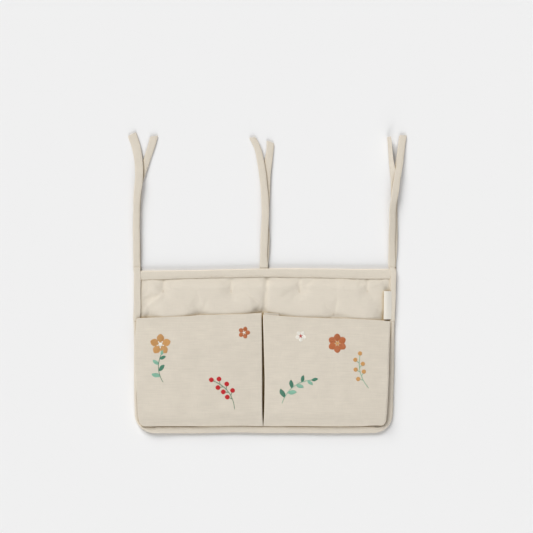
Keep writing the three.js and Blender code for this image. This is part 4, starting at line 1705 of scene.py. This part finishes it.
def tie_tape(name, tie):
    """The tape, the line of its seam and its length."""
    root = np.array(joint_places[name + "_tape"])
    centres, turns, sewn = tie_line(root, tie)
    run = lengths_along(centres)
    last = run[-1]
    heading = np.gradient(centres, axis=0)
    heading /= np.linalg.norm(heading, axis=1, keepdims=True)
    sway = soft_waves(run, np.zeros_like(run), tie["seed"], *tie_sway)
    fullness = soft_waves(run, np.zeros_like(run), tie["seed"] + fullness_seeds, *tie_fullness)
    rings = []
    maps = []
    seam = []
    for k, centre in enumerate(centres):
        share = np.clip((run[k] - run[sewn - 1]) / (last - run[sewn - 1]), 0, 1)
        width = tie_width(tie, share) + fullness[k]
        thin = 1.0
        if k < sewn:
            thin = sewn_thinness + (1 - sewn_thinness) * (k / sewn) ** 2
            if tie["runs_on"]:
                width = float(lead_width(tie["runs_on"], centre[1]))
        to_tip = last - run[k]
        width -= tip_round * (1 - ease(to_tip, 0, tip_round))
        section = tape_section(width, thin)
        across = np.cross(heading[k], (0, 0, 1))
        across /= np.linalg.norm(across)
        through = np.cross(across, heading[k])
        cos_roll, sin_roll = math.cos(turns[k]), math.sin(turns[k])
        turned_across = across * cos_roll - through * sin_roll
        turned_through = through * cos_roll + across * sin_roll
        slant = math.tan(math.radians(tie["tip_slant"])) * ease(to_tip, tip_slant_run, 0)
        ring = centre + across * sway[k]
        ring = ring + section[:, :1] * turned_across + section[:, 1:] * turned_through
        ring = ring + section[:, :1] * slant * heading[k]
        rings.append(ring)
        around = lengths_along(section)
        maps.append(np.stack([around, np.full(len(around), run[k])], axis=-1))
        seam.append(ring[groove_point] + turned_through * seam_seat)
    tape = swept_piece(name + "_tape", rings, maps, tape_cotton)
    return tape, seam[sewn:-seam_end_stations], last


for name, tie in ties.items():
    tape, seam, length = tie_tape(name, tie)
    stitches = grown(name + "_tie_stitches", [seam], stitch_row, sewing_thread)
    for piece in (tape, stitches):
        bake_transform(piece)
    place, face = name.split("_")
    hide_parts(f"{place}_tie_{face}")


# Floor, lamps and camera
# A plain pale floor, a soft key lamp from the upper left, a weak one from below the caddy, and
# a camera straight above it.
floor_rgb = (240, 240, 240)
camera_height = 2.5
view_width = 0.9088
view_centre = (0.002, 0.1440)
sensor_width = 36.0
key_direction = (-0.42, 0.91)
key_elevation = 30
key_level = 0.54
key_softness = 34
fill_direction = (0.05, -1)
fill_elevation = 21
fill_level = 0.30
fill_softness = 38
world_level = 0.16
floor_half = 4.0
floor_z = -0.0002


def soft_lamp(name, direction, elevation, level, softness):
    """A far lamp that gives that share of a colour on level ground."""
    lamp = bpy.data.lights.new(name, "SUN")
    lamp.energy = level * math.pi / math.sin(math.radians(elevation))
    lamp.angle = math.radians(softness)
    flat = Vector((*direction, 0)).normalized()
    towards_lamp = flat * math.cos(math.radians(elevation))
    towards_lamp.z = math.sin(math.radians(elevation))
    lit = placed(name, lamp)
    lit.rotation_mode = "QUATERNION"
    lit.rotation_quaternion = towards_lamp.to_track_quat("Z", "Y")
    lit.location = towards_lamp * camera_height


floor_mesh = bpy.data.meshes.new("studio_floor")
floor_corners = [
    (a * floor_half, b * floor_half, floor_z) for a, b in ((-1, -1), (1, -1), (1, 1), (-1, 1))
]
floor_mesh.from_pydata(floor_corners, [], [(0, 1, 2, 3)])
floor_looks = {"Base Color": (*linear(floor_rgb), 1), "Roughness": 0.9, "Specular IOR Level": 0}
floor_mesh.materials.append(new_material("pale_floor", floor_looks)[0])
floor = placed("studio_floor", floor_mesh)

soft_lamp("key_lamp", key_direction, key_elevation, key_level, key_softness)
soft_lamp("fill_lamp", fill_direction, fill_elevation, fill_level, fill_softness)

world = bpy.data.worlds.new("studio")
world.use_nodes = True
world_tree = world.node_tree
ambient = world_tree.nodes["Background"]
set_inputs(world_tree, ambient, {"Color": (1, 1, 1, 1), "Strength": world_level})
backdrop = new_node(world_tree, "ShaderNodeBackground", {"Color": (*linear(floor_rgb), 1)})
seen = new_node(world_tree, "ShaderNodeLightPath", {})
blend_in = new_node(world_tree, "ShaderNodeMixShader", {
    "Fac": seen.outputs["Is Camera Ray"],
    1: ambient.outputs["Background"],
    2: backdrop.outputs["Background"],
})
set_inputs(world_tree, world_tree.nodes["World Output"], {"Surface": blend_in.outputs["Shader"]})
bpy.context.scene.world = world
bpy.context.scene.view_settings.view_transform = "Standard"

camera = bpy.data.cameras.new("overhead")
camera.sensor_width = sensor_width
camera.lens = sensor_width * camera_height / view_width
overhead = placed("overhead", camera)
overhead.location = (*view_centre, camera_height)
bpy.context.scene.camera = overhead
